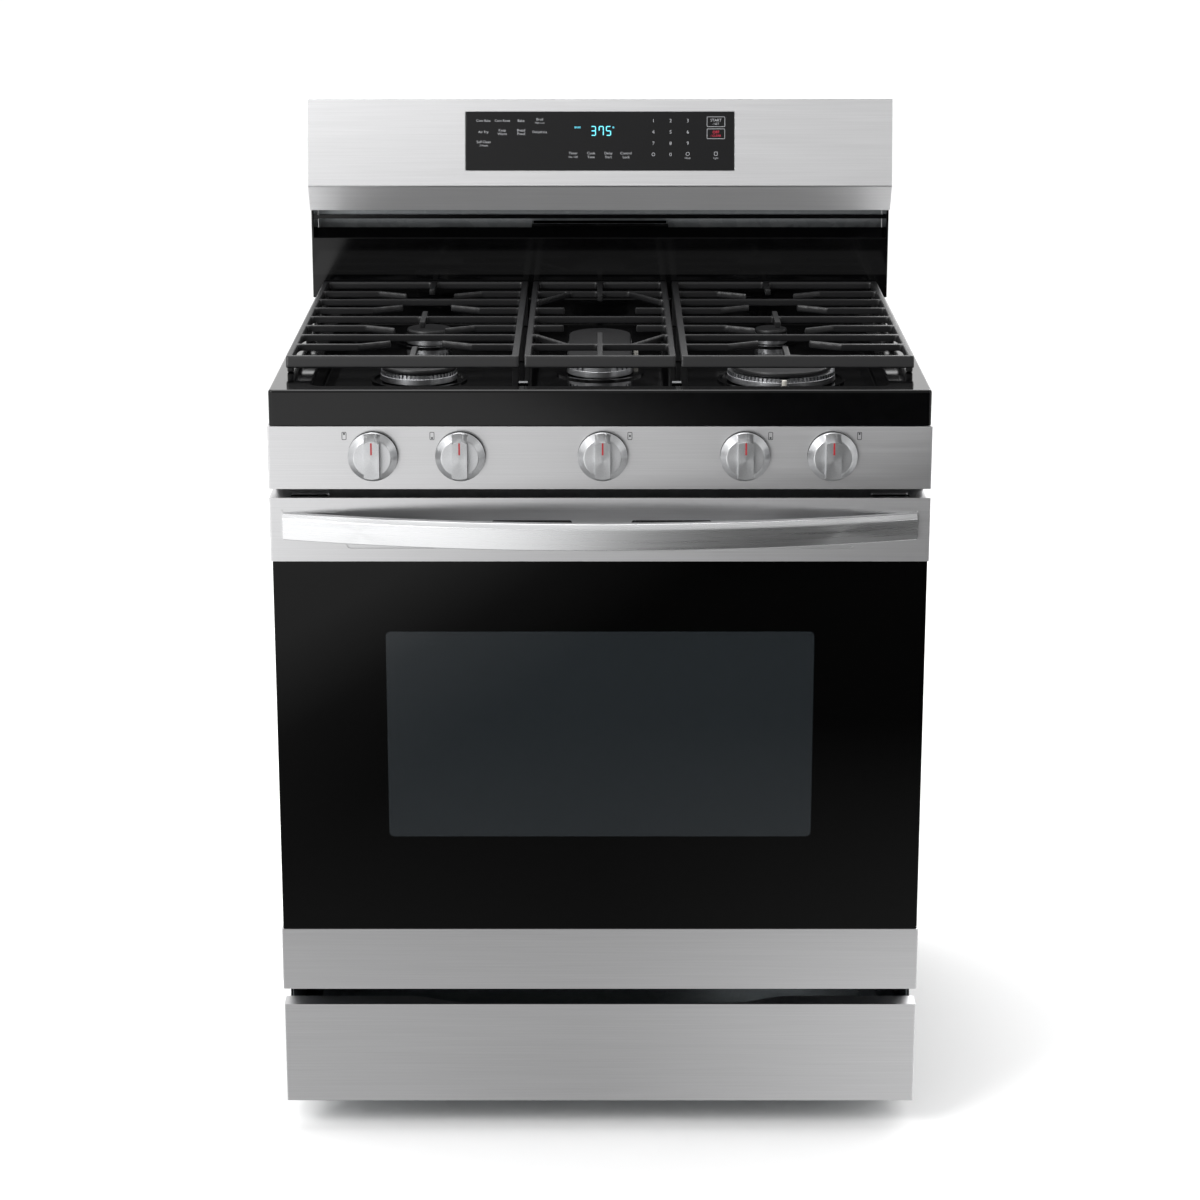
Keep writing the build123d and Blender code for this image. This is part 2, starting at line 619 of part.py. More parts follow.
def door_hinges():
    """Hinge arms that swing on the liner's pins."""
    arms = []
    for side in (-1, 1):
        for x in ((320.5, 327), (337, 343.5)):
            span = sorted((side * x[0], side * x[1]))
            arm = block(span, (24, 36), (PIVOT_Z, 330)) + rod_x(PIVOT_DEPTH, PIVOT_Z, 8, span)
            arms.append(arm - rod_x(PIVOT_DEPTH, PIVOT_Z, PIN_R + RUNNING, (side * 332 - 20, side * 332 + 20)))
    return arms


def door_handle():
    """Bowed handle bar that stands on its ends, each held by a stud through the trim."""
    sag = HANDLE_REACH + HANDLE_END
    radius = (HANDLE_HALF**2 + sag**2) / (2 * sag)
    place = Pos(0, DOOR_FACE_Y - HANDLE_REACH + radius, HANDLE_MIDDLE)
    height = HANDLE_Z[1] - HANDLE_Z[0]
    ring = place * (Cylinder(radius, height) - Cylinder(radius - HANDLE_THICK, height))
    bar = ring & block((-HANDLE_HALF, HANDLE_HALF), (-HANDLE_REACH - 1, 0), HANDLE_Z)
    for side in (-1, 1):
        bar += rod_y(side * HANDLE_STUD_X, HANDLE_MIDDLE, HANDLE_STUD_R, (-3, 14))
    return bar


# Storage drawer ---------------------------------------------------------------------------------
def drawer_front():
    """Stainless front with a scooped finger pull in its top flange."""
    half = WIDTH / 2 - 0.8
    front = rounded_block((-half, half), (0, 26), DRAWER_Z, 2, Axis.Z)
    front -= block((-half + SHEET, half - SHEET), (SHEET, 30), (DRAWER_Z[0] + SHEET, DRAWER_Z[1] - SHEET))
    outer, inner, lip = 240.0, 145.0, 4.0
    curve = [
        Bezier((-outer, 27), (-outer + 42, 27), (-inner - 45, lip), (-inner, lip)),
        Line((-inner, lip), (inner, lip)),
        Bezier((inner, lip), (inner + 45, lip), (outer - 42, 27), (outer, 27)),
        Line((outer, 27), (-outer, 27)),
    ]
    scoop = extrude(Plane.XY.offset(DRAWER_Z[1] - 10) * make_face(Wire(curve)), 20)
    return front - Pos(0, DOOR_FACE_Y, 0) * scoop


def drawer_box():
    """Open tray with a runner along each side."""
    half = 338.0
    tray = block((-half, half), (26, 560), (52, 150))
    tray -= block((-half + SHEET, half - SHEET), (26 + SHEET, 560 - SHEET), (52 + SHEET, 160))
    tray += block((-374, 374), (26, 26 + SHEET), (44, 150))
    for side in (-1, 1):
        tray += block(sorted((side * half, side * 346)), (64, 560), (98, 110))
    return tray


def drawer_rail(side):
    """Fixed channel that a runner slides in."""
    wall = 2.0
    low, high = 98 - FIT, 110 + FIT
    rail = block(sorted((side * 341, side * 349)), (62, 600), (low - wall, high + wall))
    rail -= block(sorted((side * 330, side * (346 + FIT))), (50, 610), (low, high))
    return rail + block(sorted((side * 349, side * 371.5)), (62, 600), (low - wall, low))


# Racks ------------------------------------------------------------------------------------------
def oven_rack(level):
    """Welded wire rack with a raised back stop."""
    half = CAVITY_HALF - 8
    low, high = level - 3, level + 1
    rack = block((-half, half), (92, 96), (low, high + 4)) + block((-half, half), (496, 500), (low, high + 14))
    for x in [-half, half - 4]:
        rack += block((x, x + 4), (92, 500), (low, high))
    for depth in (225, 365):
        rack += block((-half, half), (depth, depth + 4), (low, high - 2))
    for n in range(-9, 10):
        rack += block((28 * n - 1.5, 28 * n + 1.5), (92, 500), (high - 2, high + 1))
    return rack


# Export -----------------------------------------------------------------------------------------
def write(name, shape):
    solids = shape if isinstance(shape, list) else [shape]
    pieces = [solid for piece in solids for solid in piece.solids()]
    export_step(Compound(children=pieces) if len(pieces) > 1 else pieces[0], f"parts/{name}.step")


def build():
    os.makedirs("parts", exist_ok=True)
    single = (
        base_frame, rear_panel, oven_cavity, insulation, oven_floor, bake_burner, broil_burner, fan_cover,
        convection_fan, fan_motor, oven_lamp, flue_duct, gas_manifold, knob_bezels, gas_regulator,
        igniters, cooktop, grate_centre, backguard, console_housing, control_panel,
        door_glass, door_top_trim, door_bottom_trim, door_inner_panel, door_inner_glass, door_gasket,
        door_hinges, door_handle, drawer_front, drawer_box,
    )
    for make in single:
        write(make.__name__, make())
    for side, word in ((-1, "left"), (1, "right")):
        write(f"side_panel_{word}", side_panel(side))
        write(f"grate_{word}", side_grate(side))
    write("rack_supports", [rack_support(-1), rack_support(1)])
    write("drawer_rails", [drawer_rail(-1), drawer_rail(1)])
    write("control_display", display_prism(0, 0.8, -2.5))
    for (x, depth), word in zip(foot_places(), ("front_left", "front_right", "rear_left", "rear_right")):
        write(f"foot_{word}", levelling_foot(x, depth))
    for x, name in knob_places():
        write(f"spindle_{name}", tap_spindle(x))
        write(f"knob_{name}", knob(x))
        write(f"head_{name}", burner_head(name))
        write(f"cap_{name}", burner_cap(name))
    for level, word in zip(RACK_LEVELS, ("lower", "upper")):
        write(f"rack_{word}", oven_rack(level))


build()
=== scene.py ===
# %% [markdown]
# # A freestanding gas range
# The model arrives as a fixed frame of plain solids. This lesson gives each one a real finish, replaces
# the shapes that need more than a solid can show, and lights the result like a studio product shot.
# The frame is loaded first, because every piece takes its place from it.

# %% Load the frame
import json
import math
import bpy
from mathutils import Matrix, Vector


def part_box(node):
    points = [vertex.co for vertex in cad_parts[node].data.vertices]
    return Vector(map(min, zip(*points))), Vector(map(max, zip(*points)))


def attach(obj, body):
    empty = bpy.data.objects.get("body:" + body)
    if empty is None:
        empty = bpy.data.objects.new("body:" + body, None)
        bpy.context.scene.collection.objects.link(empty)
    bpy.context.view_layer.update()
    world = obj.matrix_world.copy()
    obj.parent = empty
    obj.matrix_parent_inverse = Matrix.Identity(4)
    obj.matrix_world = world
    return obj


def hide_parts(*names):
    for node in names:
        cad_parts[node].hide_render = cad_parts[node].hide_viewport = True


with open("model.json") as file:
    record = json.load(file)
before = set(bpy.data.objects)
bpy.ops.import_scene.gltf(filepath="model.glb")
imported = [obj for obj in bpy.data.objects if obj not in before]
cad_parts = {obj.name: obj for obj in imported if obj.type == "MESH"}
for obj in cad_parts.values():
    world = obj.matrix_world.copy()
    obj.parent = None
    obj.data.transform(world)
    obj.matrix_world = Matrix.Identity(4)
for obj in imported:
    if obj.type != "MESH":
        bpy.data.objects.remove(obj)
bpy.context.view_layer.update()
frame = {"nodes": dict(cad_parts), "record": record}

# %% [markdown]
# ## Places shared by many pieces
# A range is laid out from the front face of its door, so depths are kept as distances behind that face.
# All lengths are metres, because that is the frame's unit, and one small function turns millimetres
# across, back and up into a point.

# %% Shared places
MM = 0.001
DOOR_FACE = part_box("door_top_trim")[0][1]
HALF_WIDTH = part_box("console_housing")[1][0]
POSITIONS = ("front_left", "rear_left", "centre", "rear_right", "front_right")


def place(across, back, up):
    """A point from millimetres: across from the middle, back from the door's face, up from the floor."""
    return Vector((across * MM, DOOR_FACE + back * MM, up * MM))


print("door face at y =", round(DOOR_FACE, 4), "half width", round(HALF_WIDTH, 4))

# %% [markdown]
# ## Camera
# A long lens from standing height shows the cooktop and the front together with little distortion.
# The camera tilts down until the range sits in the middle of the picture.

# %% Camera
LENS_MM = 93.0
CAMERA_BACK, CAMERA_UP = -3444, 1629
DOWNWARD_TILT = 15.6
camera_data = bpy.data.cameras.new("camera")
camera_data.lens = LENS_MM
camera = bpy.data.objects.new("camera", camera_data)
camera.location = place(0, CAMERA_BACK, CAMERA_UP)
camera.rotation_euler = (math.radians(90 - DOWNWARD_TILT), 0, 0)
bpy.context.scene.collection.objects.link(camera)
bpy.context.scene.camera = camera
bpy.context.scene.view_settings.view_transform = "Standard"
print("camera at", tuple(round(value, 3) for value in camera.location))

# %% [markdown]
# ## Nodes in one call
# Materials are built from nodes. Adding a node means making it, changing its settings and joining its
# sockets, so one small function does all three. Colours are written as the hex values a paint chart
# would give, and turned to linear light, because shaders add light and not paint values.


# %% Node and colour helpers
def linear(hex_colour):
    """Linear RGBA from an sRGB hex colour such as "c8c8ca"."""
    channels = [int(hex_colour[n:n + 2], 16) / 255 for n in (0, 2, 4)]
    straight = [c / 12.92 if c <= 0.04045 else ((c + 0.055) / 1.055) ** 2.4 for c in channels]
    return (*straight, 1.0)


def add_node(tree, kind, inputs=None, **settings):
    """Adds a node with its settings, and joins or fills its sockets."""
    node = tree.nodes.new(kind)
    for name, value in settings.items():
        setattr(node, name, value)
    for socket, value in (inputs or {}).items():
        if isinstance(value, bpy.types.NodeSocket):
            tree.links.new(value, node.inputs[socket])
        else:
            node.inputs[socket].default_value = value
    return node


def new_finish(name, **sockets):
    """An empty material with its shader. Sockets that are the same all over are set on the shader."""
    material = bpy.data.materials.new(name)
    material.use_nodes = True
    tree = material.node_tree
    tree.nodes.clear()
    shader = add_node(tree, "ShaderNodeBsdfPrincipled")
    for socket, value in sockets.items():
        shader.inputs[socket.replace("_", " ")].default_value = value
    add_node(tree, "ShaderNodeOutputMaterial", {"Surface": shader.outputs[0]})
    return material, tree, shader


def grain_pattern(tree, size, stretch=(1, 1, 1), detail=3.0):
    """Noise whose grains are `size` metres, drawn out by `stretch` along each axis."""
    where = add_node(tree, "ShaderNodeTexCoord")
    scale = [1 / (size * s) for s in stretch]
    mapped = add_node(tree, "ShaderNodeMapping", {"Vector": where.outputs["Object"], "Scale": scale})
    return add_node(tree, "ShaderNodeTexNoise", {"Vector": mapped.outputs[0], "Scale": 1.0, "Detail": detail})


def vary(tree, shader, factor, colours, roughness, relief=0.0):
    """Lets one pattern change the colour, the gloss and the height of a surface together."""
    tint = add_node(tree, "ShaderNodeMix", {0: factor, 6: linear(colours[0]), 7: linear(colours[1])},
                    data_type="RGBA")
    gloss = add_node(tree, "ShaderNodeMapRange", {"Value": factor, 3: roughness[0], 4: roughness[1]})
    tree.links.new(tint.outputs[2], shader.inputs["Base Color"])
    tree.links.new(gloss.outputs[0], shader.inputs["Roughness"])
    if relief:
        bump = add_node(tree, "ShaderNodeBump", {"Height": factor, "Distance": relief, "Strength": 0.6})
        tree.links.new(bump.outputs[0], shader.inputs["Normal"])


finishes = {}

# %% [markdown]
# ## Brushed stainless steel
# The front panels are ferritic stainless sheet, rubbed in one direction with an abrasive belt. The belt
# leaves scratches a fraction of a millimetre wide and hand-long. They stretch reflections across the
# scratches, which gives the soft vertical glow of a brushed panel. The scratches are drawn
# 1.2 mm wide, coarser than real ones, so that they just show.


# %% Brushed stainless
def brushed(name, colours, roughness, axis="X", anisotropy=0.7, streak=(110, 1, 1), width=1.2 * MM):
    """Metal rubbed along one axis, with long fine streaks."""
    material, tree, shader = new_finish(name, Metallic=1.0, Anisotropic=anisotropy, Anisotropic_Rotation=0.25)
    streaks = grain_pattern(tree, width, streak, detail=2.0)
    vary(tree, shader, streaks.outputs["Fac"], colours, roughness, relief=0.004 * MM)
    around = add_node(tree, "ShaderNodeTangent", direction_type="RADIAL", axis=axis)
    tree.links.new(around.outputs[0], shader.inputs["Tangent"])
    return material


finishes["stainless"] = brushed("brushed_stainless", ("c4c4c5", "d4d4d5"), (0.30, 0.38))
finishes["handle_steel"] = brushed("satin_stainless_bar", ("bfc0c1", "d2d2d3"), (0.24, 0.32),
                                   streak=(150, 60, 1))
finishes["spindle_steel"] = brushed("turned_steel", ("9a9b9d", "b4b5b6"), (0.25, 0.4), axis="Y")
finishes["knob_metal"] = brushed("spun_aluminium", ("b9babc", "cfd0d1"), (0.26, 0.34), axis="Y",
                                 streak=(1, 1, 1), width=1.5 * MM)
finishes["burner_alloy"] = brushed("machined_aluminium", ("a8a9ac", "c9cacc"), (0.3, 0.42), axis="Z",
                                   streak=(1, 1, 14), width=1.0 * MM)
print("metals:", list(finishes))

# %% [markdown]
# ## Enamels, cast iron and paint
# The cooktop is porcelain enamel: glass fused to steel, which is glossy with a faint ripple left by the
# firing. Grates are cast iron under a matte enamel, so they look grainy and dull. The casing is powder
# coated, which dries to the fine bumps known as orange peel. Each is one noise pattern at its own size.


# %% Enamel, cast iron and paint
def speckled(name, colours, roughness, size, relief, detail=3.0, **sockets):
    """A plain opaque finish whose gloss and surface vary over grains of one size."""
    material, tree, shader = new_finish(name, **sockets)
    grains = grain_pattern(tree, size, detail=detail)
    vary(tree, shader, grains.outputs["Fac"], colours, roughness, relief)
    return material


# real material, colours, roughness, grain and relief in millimetres, and what else differs
SPECKLED = {
    "black_enamel": ("black_porcelain_enamel", ("020202", "060607"), (0.06, 0.11), 18, 0.02,
                     {"Specular_IOR_Level": 0.24}),
    "grate_iron": ("matte_enamelled_cast_iron", ("060607", "111113"), (0.34, 0.5), 1.6, 0.1,
                   {"detail": 5.0, "Specular_IOR_Level": 0.5}),
    "cap_enamel": ("matte_black_enamel", ("0a0a0b", "141416"), (0.36, 0.5), 1.4, 0.02),
    "casing_paint": ("powder_coat_orange_peel", ("2e3032", "3a3c3e"), (0.38, 0.52), 2.2, 0.09),
    "black_plastic": ("moulded_black_plastic", ("101011", "1a1a1b"), (0.4, 0.55), 1.2, 0.03),
    "spark_ceramic": ("glazed_ceramic", ("d9d6cd", "efece4"), (0.2, 0.35), 2, 0.01),
    "red_enamel": ("red_enamel_fill", ("8f0c18", "a01020"), (0.3, 0.4), 1, 0.01),
    "grey_silicone": ("grey_silicone_rubber", ("5c5d5f", "6c6d6f"), (0.6, 0.75), 1, 0.02),
    "print_ink": ("screen_print_ink", ("9b9ca0", "b9babd"), (0.55, 0.7), 0.5, 0.004),
    "panel_ink": ("dark_screen_print_ink", ("2c2d30", "404144"), (0.55, 0.7), 0.5, 0.004),
    "red_ink": ("red_screen_print_ink", ("c2183a", "e0284b"), (0.5, 0.6), 0.5, 0.004),
}
for slot, (name, colours, roughness, size, relief, *extras) in SPECKLED.items():
    finishes[slot] = speckled(name, colours, roughness, size * MM, relief * MM, **dict(*extras))

# %% [markdown]
# ## Inside the oven
# An oven liner is ground-coat enamel, a dark grey glass with pale specks about 1 mm across. The specks
# come from a cell pattern: cells 4.5 mm wide, each with a small pale spot at its centre.
# Galvanised steel shows spangle, the zinc crystals, as cells 10 mm wide that differ in tone and gloss.


# %% Oven enamel and galvanised steel
def cell_pattern(tree, size):
    """Cells of one size, each with its own random value."""
    where = add_node(tree, "ShaderNodeTexCoord")
    return add_node(tree, "ShaderNodeTexVoronoi", {"Vector": where.outputs["Object"], "Scale": 1 / size})


def oven_enamel():
    material, tree, shader = new_finish("ground_coat_enamel", Specular_IOR_Level=0.5)
    cells = cell_pattern(tree, 4.5 * MM)
    speck = add_node(tree, "ShaderNodeMapRange", {"Value": cells.outputs["Distance"], 1: 0.12, 2: 0.2,
                                                  3: 1.0, 4: 0.0})
    vary(tree, shader, speck.outputs[0], ("26282c", "8b8e93"), (0.22, 0.4), 0.02 * MM)
    return material


def galvanised():
    material, tree, shader = new_finish("galvanised_steel", Metallic=1.0)
    cells = cell_pattern(tree, 11 * MM)
    value = add_node(tree, "ShaderNodeSeparateColor", {0: cells.outputs["Color"]})
    vary(tree, shader, value.outputs[0], ("9da1a4", "aeb2b4"), (0.36, 0.46), 0.01 * MM)
    return material


finishes["oven_enamel"] = oven_enamel()
finishes["galvanised"] = galvanised()
finishes["rack_chrome"] = speckled("bright_chrome_plate", ("c9cacd", "dededf"), (0.1, 0.2), 5 * MM, 0.0,
                                   Metallic=1.0)

# %% [markdown]
# ## Soft parts behind the panels
# The door seal is a braided glass-fibre rope, and the blanket round the liner is mineral wool. A braid is
# two sets of slanted strands: a wave texture along the diagonal gives them 3 mm apart.


# %% Rope and wool
def braided_rope():
    material, tree, shader = new_finish("braided_glass_fibre")
    where = add_node(tree, "ShaderNodeTexCoord")
    strands = add_node(tree, "ShaderNodeTexWave", {"Vector": where.outputs["Object"], "Distortion": 0.6,
                                                   "Scale": 0.31 / (3 * MM)}, bands_direction="DIAGONAL")
    vary(tree, shader, strands.outputs["Fac"], ("4b4a47", "8c8a84"), (0.8, 0.95), 0.5 * MM)
    return material


finishes["gasket_rope"] = braided_rope()
finishes["mineral_wool"] = speckled("mineral_wool", ("8f8156", "c9bb8c"), (0.9, 1.0), 6 * MM, 2 * MM,
                                    detail=6.0)

# %% [markdown]
# ## Glass
# The door's outer pane is clear glass with black ceramic printed on its inner side, all but the window,
# where a thin reflective tint lets a little of the oven show. So one material has a mask: the distance
# to a rounded rectangle, made from the coordinates, decides where light gets through.


# %% Door glass and other glass
WINDOW_HALF, WINDOW_LOW, WINDOW_HIGH, WINDOW_CORNER = 248 * MM, 378 * MM, 629 * MM, 6 * MM


def window_mask(tree, half_width, low, high, corner):
    """How much light a rounded window in the door lets through: none outside it, under half inside."""
    where = add_node(tree, "ShaderNodeTexCoord")
    axes = add_node(tree, "ShaderNodeSeparateXYZ", {0: where.outputs["Object"]})
    rise = add_node(tree, "ShaderNodeMath", {0: axes.outputs[2], 1: (low + high) / 2}, operation="SUBTRACT")
    overs = []
    for value, reach in ((axes.outputs[0], half_width), (rise.outputs[0], (high - low) / 2)):
        size = add_node(tree, "ShaderNodeMath", {0: value}, operation="ABSOLUTE")
        over = add_node(tree, "ShaderNodeMath", {0: size.outputs[0], 1: reach - corner}, operation="SUBTRACT")
        overs.append(add_node(tree, "ShaderNodeMath", {0: over.outputs[0], 1: 0.0}, operation="MAXIMUM"))
    flat = add_node(tree, "ShaderNodeCombineXYZ", {0: overs[0].outputs[0], 1: overs[1].outputs[0]})
    length = add_node(tree, "ShaderNodeVectorMath", {0: flat.outputs[0]}, operation="LENGTH")
    return add_node(tree, "ShaderNodeMapRange", {"Value": length.outputs["Value"], 1: corner + 0.3 * MM,
                                                 2: corner - 0.3 * MM, 3: 0.0, 4: 0.45})


def black_door_glass():
    material, tree, shader = new_finish("black_printed_glass", IOR=1.5, Specular_IOR_Level=0.12)
    mask = window_mask(tree, WINDOW_HALF, WINDOW_LOW, WINDOW_HIGH, WINDOW_CORNER)
    tint = add_node(tree, "ShaderNodeMix", {0: mask.outputs[0], 6: linear("030303"), 7: linear("3c4246")},
                    data_type="RGBA")
    haze = grain_pattern(tree, 30 * MM)
    gloss = add_node(tree, "ShaderNodeMapRange", {"Value": haze.outputs["Fac"], 3: 0.02, 4: 0.07})
    tree.links.new(tint.outputs[2], shader.inputs["Base Color"])
    tree.links.new(mask.outputs[0], shader.inputs["Transmission Weight"])
    tree.links.new(gloss.outputs[0], shader.inputs["Roughness"])
    return material


finishes["black_glass"] = black_door_glass()
finishes["touch_glass"] = speckled("back_printed_touch_glass", ("050506", "08080a"), (0.04, 0.1),
                                   25 * MM, 0.0, IOR=1.5, Specular_IOR_Level=0.35)
finishes["inner_glass"] = speckled("heat_resisting_glass", ("c9d2d0", "e2e8e6"), (0.02, 0.06), 40 * MM, 0.0,
                                   IOR=1.47, Transmission_Weight=1.0)


def lit_display():
    """Blue-green light of a vacuum display, a little uneven from segment to segment."""
    material, tree, shader = new_finish("display_phosphor", Roughness=0.4, Emission_Strength=1.0)
    glow = grain_pattern(tree, 3 * MM)
    tint = add_node(tree, "ShaderNodeMix", {0: glow.outputs["Fac"], 6: linear("3fb4cf"), 7: linear("7ce0f2")},
                    data_type="RGBA")
    tree.links.new(tint.outputs[2], shader.inputs["Base Color"])
    tree.links.new(tint.outputs[2], shader.inputs["Emission Color"])
    return material


finishes["display_phosphor"] = lit_display()
print("finishes made:", len(finishes))

# %% [markdown]
# ## Give every solid its finish
# The record says which material slot each solid belongs to. The dictionary above has a finish for every
# slot, so one loop dresses the whole frame. Solids that are replaced later are simply hidden.

# %% Dress the frame
for row in frame["record"]["subparts"]:
    node = frame["nodes"][row["node"]]
    node.data.materials.clear()
    node.data.materials.append(finishes[row["material_slot"]])

# %% [markdown]
# ## Modelling by hand, in code
# Every step below is one that the mouse could do: add a primitive, open it, select faces or edges,
# extrude, scale, bevel. An operator works on whatever is selected, so each helper selects first.


# %% Modelling helpers
def leave_edit():
    """Closes edit mode, which writes its changes to the mesh."""
    bpy.ops.object.mode_set(mode="OBJECT")


def select_only(*things):
    """Leaves only these objects selected, the first one active."""
    if bpy.context.mode != "OBJECT":
        leave_edit()
    bpy.ops.object.select_all(action="DESELECT")
    for thing in things:
        thing.select_set(True)
    if things:
        bpy.context.view_layer.objects.active = things[0]


def apply_place(name):
    """Names the active object and moves its place, turn and size into its mesh."""
    piece = bpy.context.object
    piece.name = name
    bpy.ops.object.transform_apply(location=True, rotation=True, scale=True)
    return piece


def add_block(name, across, back, up):
    """A block between two values each way, in the range's millimetres."""
    select_only()
    low, high = (place(across[n], back[n], up[n]) for n in (0, 1))
    bpy.ops.mesh.primitive_cube_add(size=1, location=(low + high) / 2)
    bpy.context.object.scale = high - low
    return apply_place(name)


def choose(piece, kind, wanted):
    """Opens a piece with only some of it selected: VERT by point, EDGE by ends, FACE by centre and normal."""
    select_only(piece)
    bpy.ops.object.mode_set(mode="EDIT")
    bpy.ops.mesh.select_mode(type=kind)
    bpy.ops.mesh.select_all(action="DESELECT")
    leave_edit()
    points = piece.data.vertices
    if kind == "FACE":
        for face in piece.data.polygons:
            face.select = wanted(face.center, face.normal)
    elif kind == "EDGE":
        for edge in piece.data.edges:
            ends = [points[n] for n in edge.vertices]
            if wanted(ends[0].co, ends[1].co):
                edge.select = ends[0].select = ends[1].select = True
    else:
        for point in points:
            point.select = wanted(point.co)
    bpy.ops.object.mode_set(mode="EDIT")


def round_edges(piece, radius, segments, wanted):
    """Rounds the edges that pass a test."""
    choose(piece, "EDGE", wanted)
    bpy.ops.mesh.bevel(offset=radius * MM, segments=segments, affect="EDGES", clamp_overlap=True)
    leave_edit()


def modify(piece, kind, **settings):
    """Adds a modifier and applies it at once."""
    select_only(piece)
    modifier = piece.modifiers.new(kind.lower(), kind)
    for name, value in settings.items():
        setattr(modifier, name, value)
    bpy.ops.object.modifier_apply(modifier=modifier.name)


def smooth(piece, angle=38):
    """Smooth shading that keeps real corners crisp and big flat faces flat."""
    select_only(piece)
    bpy.ops.object.shade_smooth_by_angle(angle=math.radians(angle))
    modify(piece, "WEIGHTED_NORMAL", keep_sharp=True, weight=100)


def soften(piece, width, segments=2):
    """Breaks every sharp edge a little, as deburring does, so that it catches the light."""
    modify(piece, "BEVEL", width=width * MM, segments=segments, limit_method="ANGLE",
           angle_limit=math.radians(32))
    smooth(piece)


def solid_copy(node, name):
    """A copy of a solid's mesh, its loose triangles merged and its flat faces made whole."""
    mesh = frame["nodes"][node].data.copy()
    piece = bpy.data.objects.new(name, mesh)
    bpy.context.scene.collection.objects.link(piece)
    select_only(piece)
    bpy.ops.mesh.customdata_custom_splitnormals_clear()
    bpy.ops.object.mode_set(mode="EDIT")
    bpy.ops.mesh.select_all(action="SELECT")
    bpy.ops.mesh.remove_doubles(threshold=0.01 * MM)
    bpy.ops.mesh.dissolve_limited(angle_limit=math.radians(0.4))
    leave_edit()
    return piece


def copy_by(piece, name, shift):
    """A copy with its own mesh, moved by a vector."""
    twin = bpy.data.objects.new(name, piece.data.copy())
    bpy.context.scene.collection.objects.link(twin)
    twin.location = shift
    select_only(twin)
    return apply_place(name)


def join(pieces, name):
    """Joins pieces into the first one."""
    select_only(*pieces)
    bpy.ops.object.join()
    pieces[0].name = name
    return pieces[0]


def fit(piece, finish, body, *nodes, slot=None):
    """Gives a piece its finish and its body, and hides the solids it stands for. Its slot argument is not
    used.
    """
    piece.data.materials.clear()
    piece.data.materials.append(finishes[finish])
    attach(piece, body)
    if nodes:
        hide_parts(*nodes)
    print(f"{piece.name}: {len(piece.data.polygons)} faces on {body}")
    return piece


def extrude(by=(0, 0, 0)):
    """Extrudes what is selected, and moves it by a vector."""
    bpy.ops.mesh.extrude_region_move(TRANSFORM_OT_translate={"value": by})


def turned(name, centre, profile, lying=False, sides=96):
    """A round piece grown from a filled circle: each step extrudes the end face and scales it.
    The profile is (radius, distance) pairs in millimetres, upwards or, lying, towards the front."""
    select_only()
    out = Vector((0, -1, 0)) if lying else Vector((0, 0, 1))
    radius, reach = profile[0]
    bpy.ops.mesh.primitive_circle_add(vertices=sides, radius=radius * MM, fill_type="NGON",
                                      location=centre + out * reach * MM,
                                      rotation=(math.radians(90) if lying else 0, 0, 0))
    piece = apply_place(name)
    bpy.ops.object.mode_set(mode="EDIT")
    bpy.ops.mesh.select_mode(type="FACE")
    bpy.ops.mesh.select_all(action="SELECT")
    for new_radius, new_reach in profile[1:]:
        extrude(out * (new_reach - reach) * MM)
        grow = new_radius / radius
        bpy.ops.transform.resize(value=(grow, 1, grow) if lying else (grow, grow, 1), center_override=centre)
        radius, reach = new_radius, new_reach
    bpy.ops.mesh.select_all(action="SELECT")
    bpy.ops.mesh.normals_make_consistent(inside=False)
    leave_edit()
    return piece


def cut_off(piece, point, normal):
    """Slices a piece and throws away what lies beyond the cut, closing the hole."""
    select_only(piece)
    bpy.ops.object.mode_set(mode="EDIT")
    bpy.ops.mesh.select_all(action="SELECT")
    bpy.ops.mesh.bisect(plane_co=point, plane_no=normal, use_fill=True, clear_outer=True)
    leave_edit()


def near(value, target, slack=0.4):
    """True if a length is within a fraction of a millimetre of a target given in millimetres."""
    return abs(value - target * MM) < slack * MM


def back_of(point):
    """How far a point lies behind the door's face, in metres."""
    return point[1] - DOOR_FACE


# %% [markdown]
# ## Sheet-metal panels
# The console, knob panel, door trims and drawer front are folded from sheet. The outside of a fold has
# a radius of about the sheet's thickness. So each is a clean copy of its solid, its long outer folds
# rounded first and all its other edges broken a little after.

# %% Folded panels
panel = solid_copy("control_panel", "knob_panel")
round_edges(panel, 1.4, 4, lambda a, b: near(back_of(a), 0) and near(back_of(b), 0)
            and abs(a.x - b.x) > 0.3 and abs(a.z - b.z) < 0.1 * MM)
soften(panel, 0.25)
fit(panel, "stainless", "range", "control_panel")

console = solid_copy("console_housing", "console_shell")
console_folds = (1065, 1175, 1178)
round_edges(console, 1.6, 4, lambda a, b: any(near(a.z, fold) and near(b.z, fold) for fold in console_folds)
            and abs(a.x - b.x) > 0.5 and back_of(a) < 600 * MM)
soften(console, 0.4)
fit(console, "stainless", "range", "console_housing")

TRIM_FOLDS = (("door_top_trim", "door_upper_trim", 788.5), ("door_bottom_trim", "door_lower_trim", 185.0))
for node, name, top in TRIM_FOLDS:
    trim = solid_copy(node, name)
    round_edges(trim, 1.4, 4, lambda a, b: near(back_of(a), 0) and near(back_of(b), 0)
                and near(a.z, top) and near(b.z, top))
    soften(trim, 0.3)
    fit(trim, "stainless", "oven_door", node)

drawer = solid_copy("drawer_front", "drawer_face")
round_edges(drawer, 1.4, 4, lambda a, b: near(back_of(a), 0) and near(back_of(b), 0)
            and (near(a.z, 165) and near(b.z, 165) or near(a.z, 40) and near(b.z, 40)))
soften(drawer, 0.25)
fit(drawer, "stainless", "storage_drawer", "drawer_front")

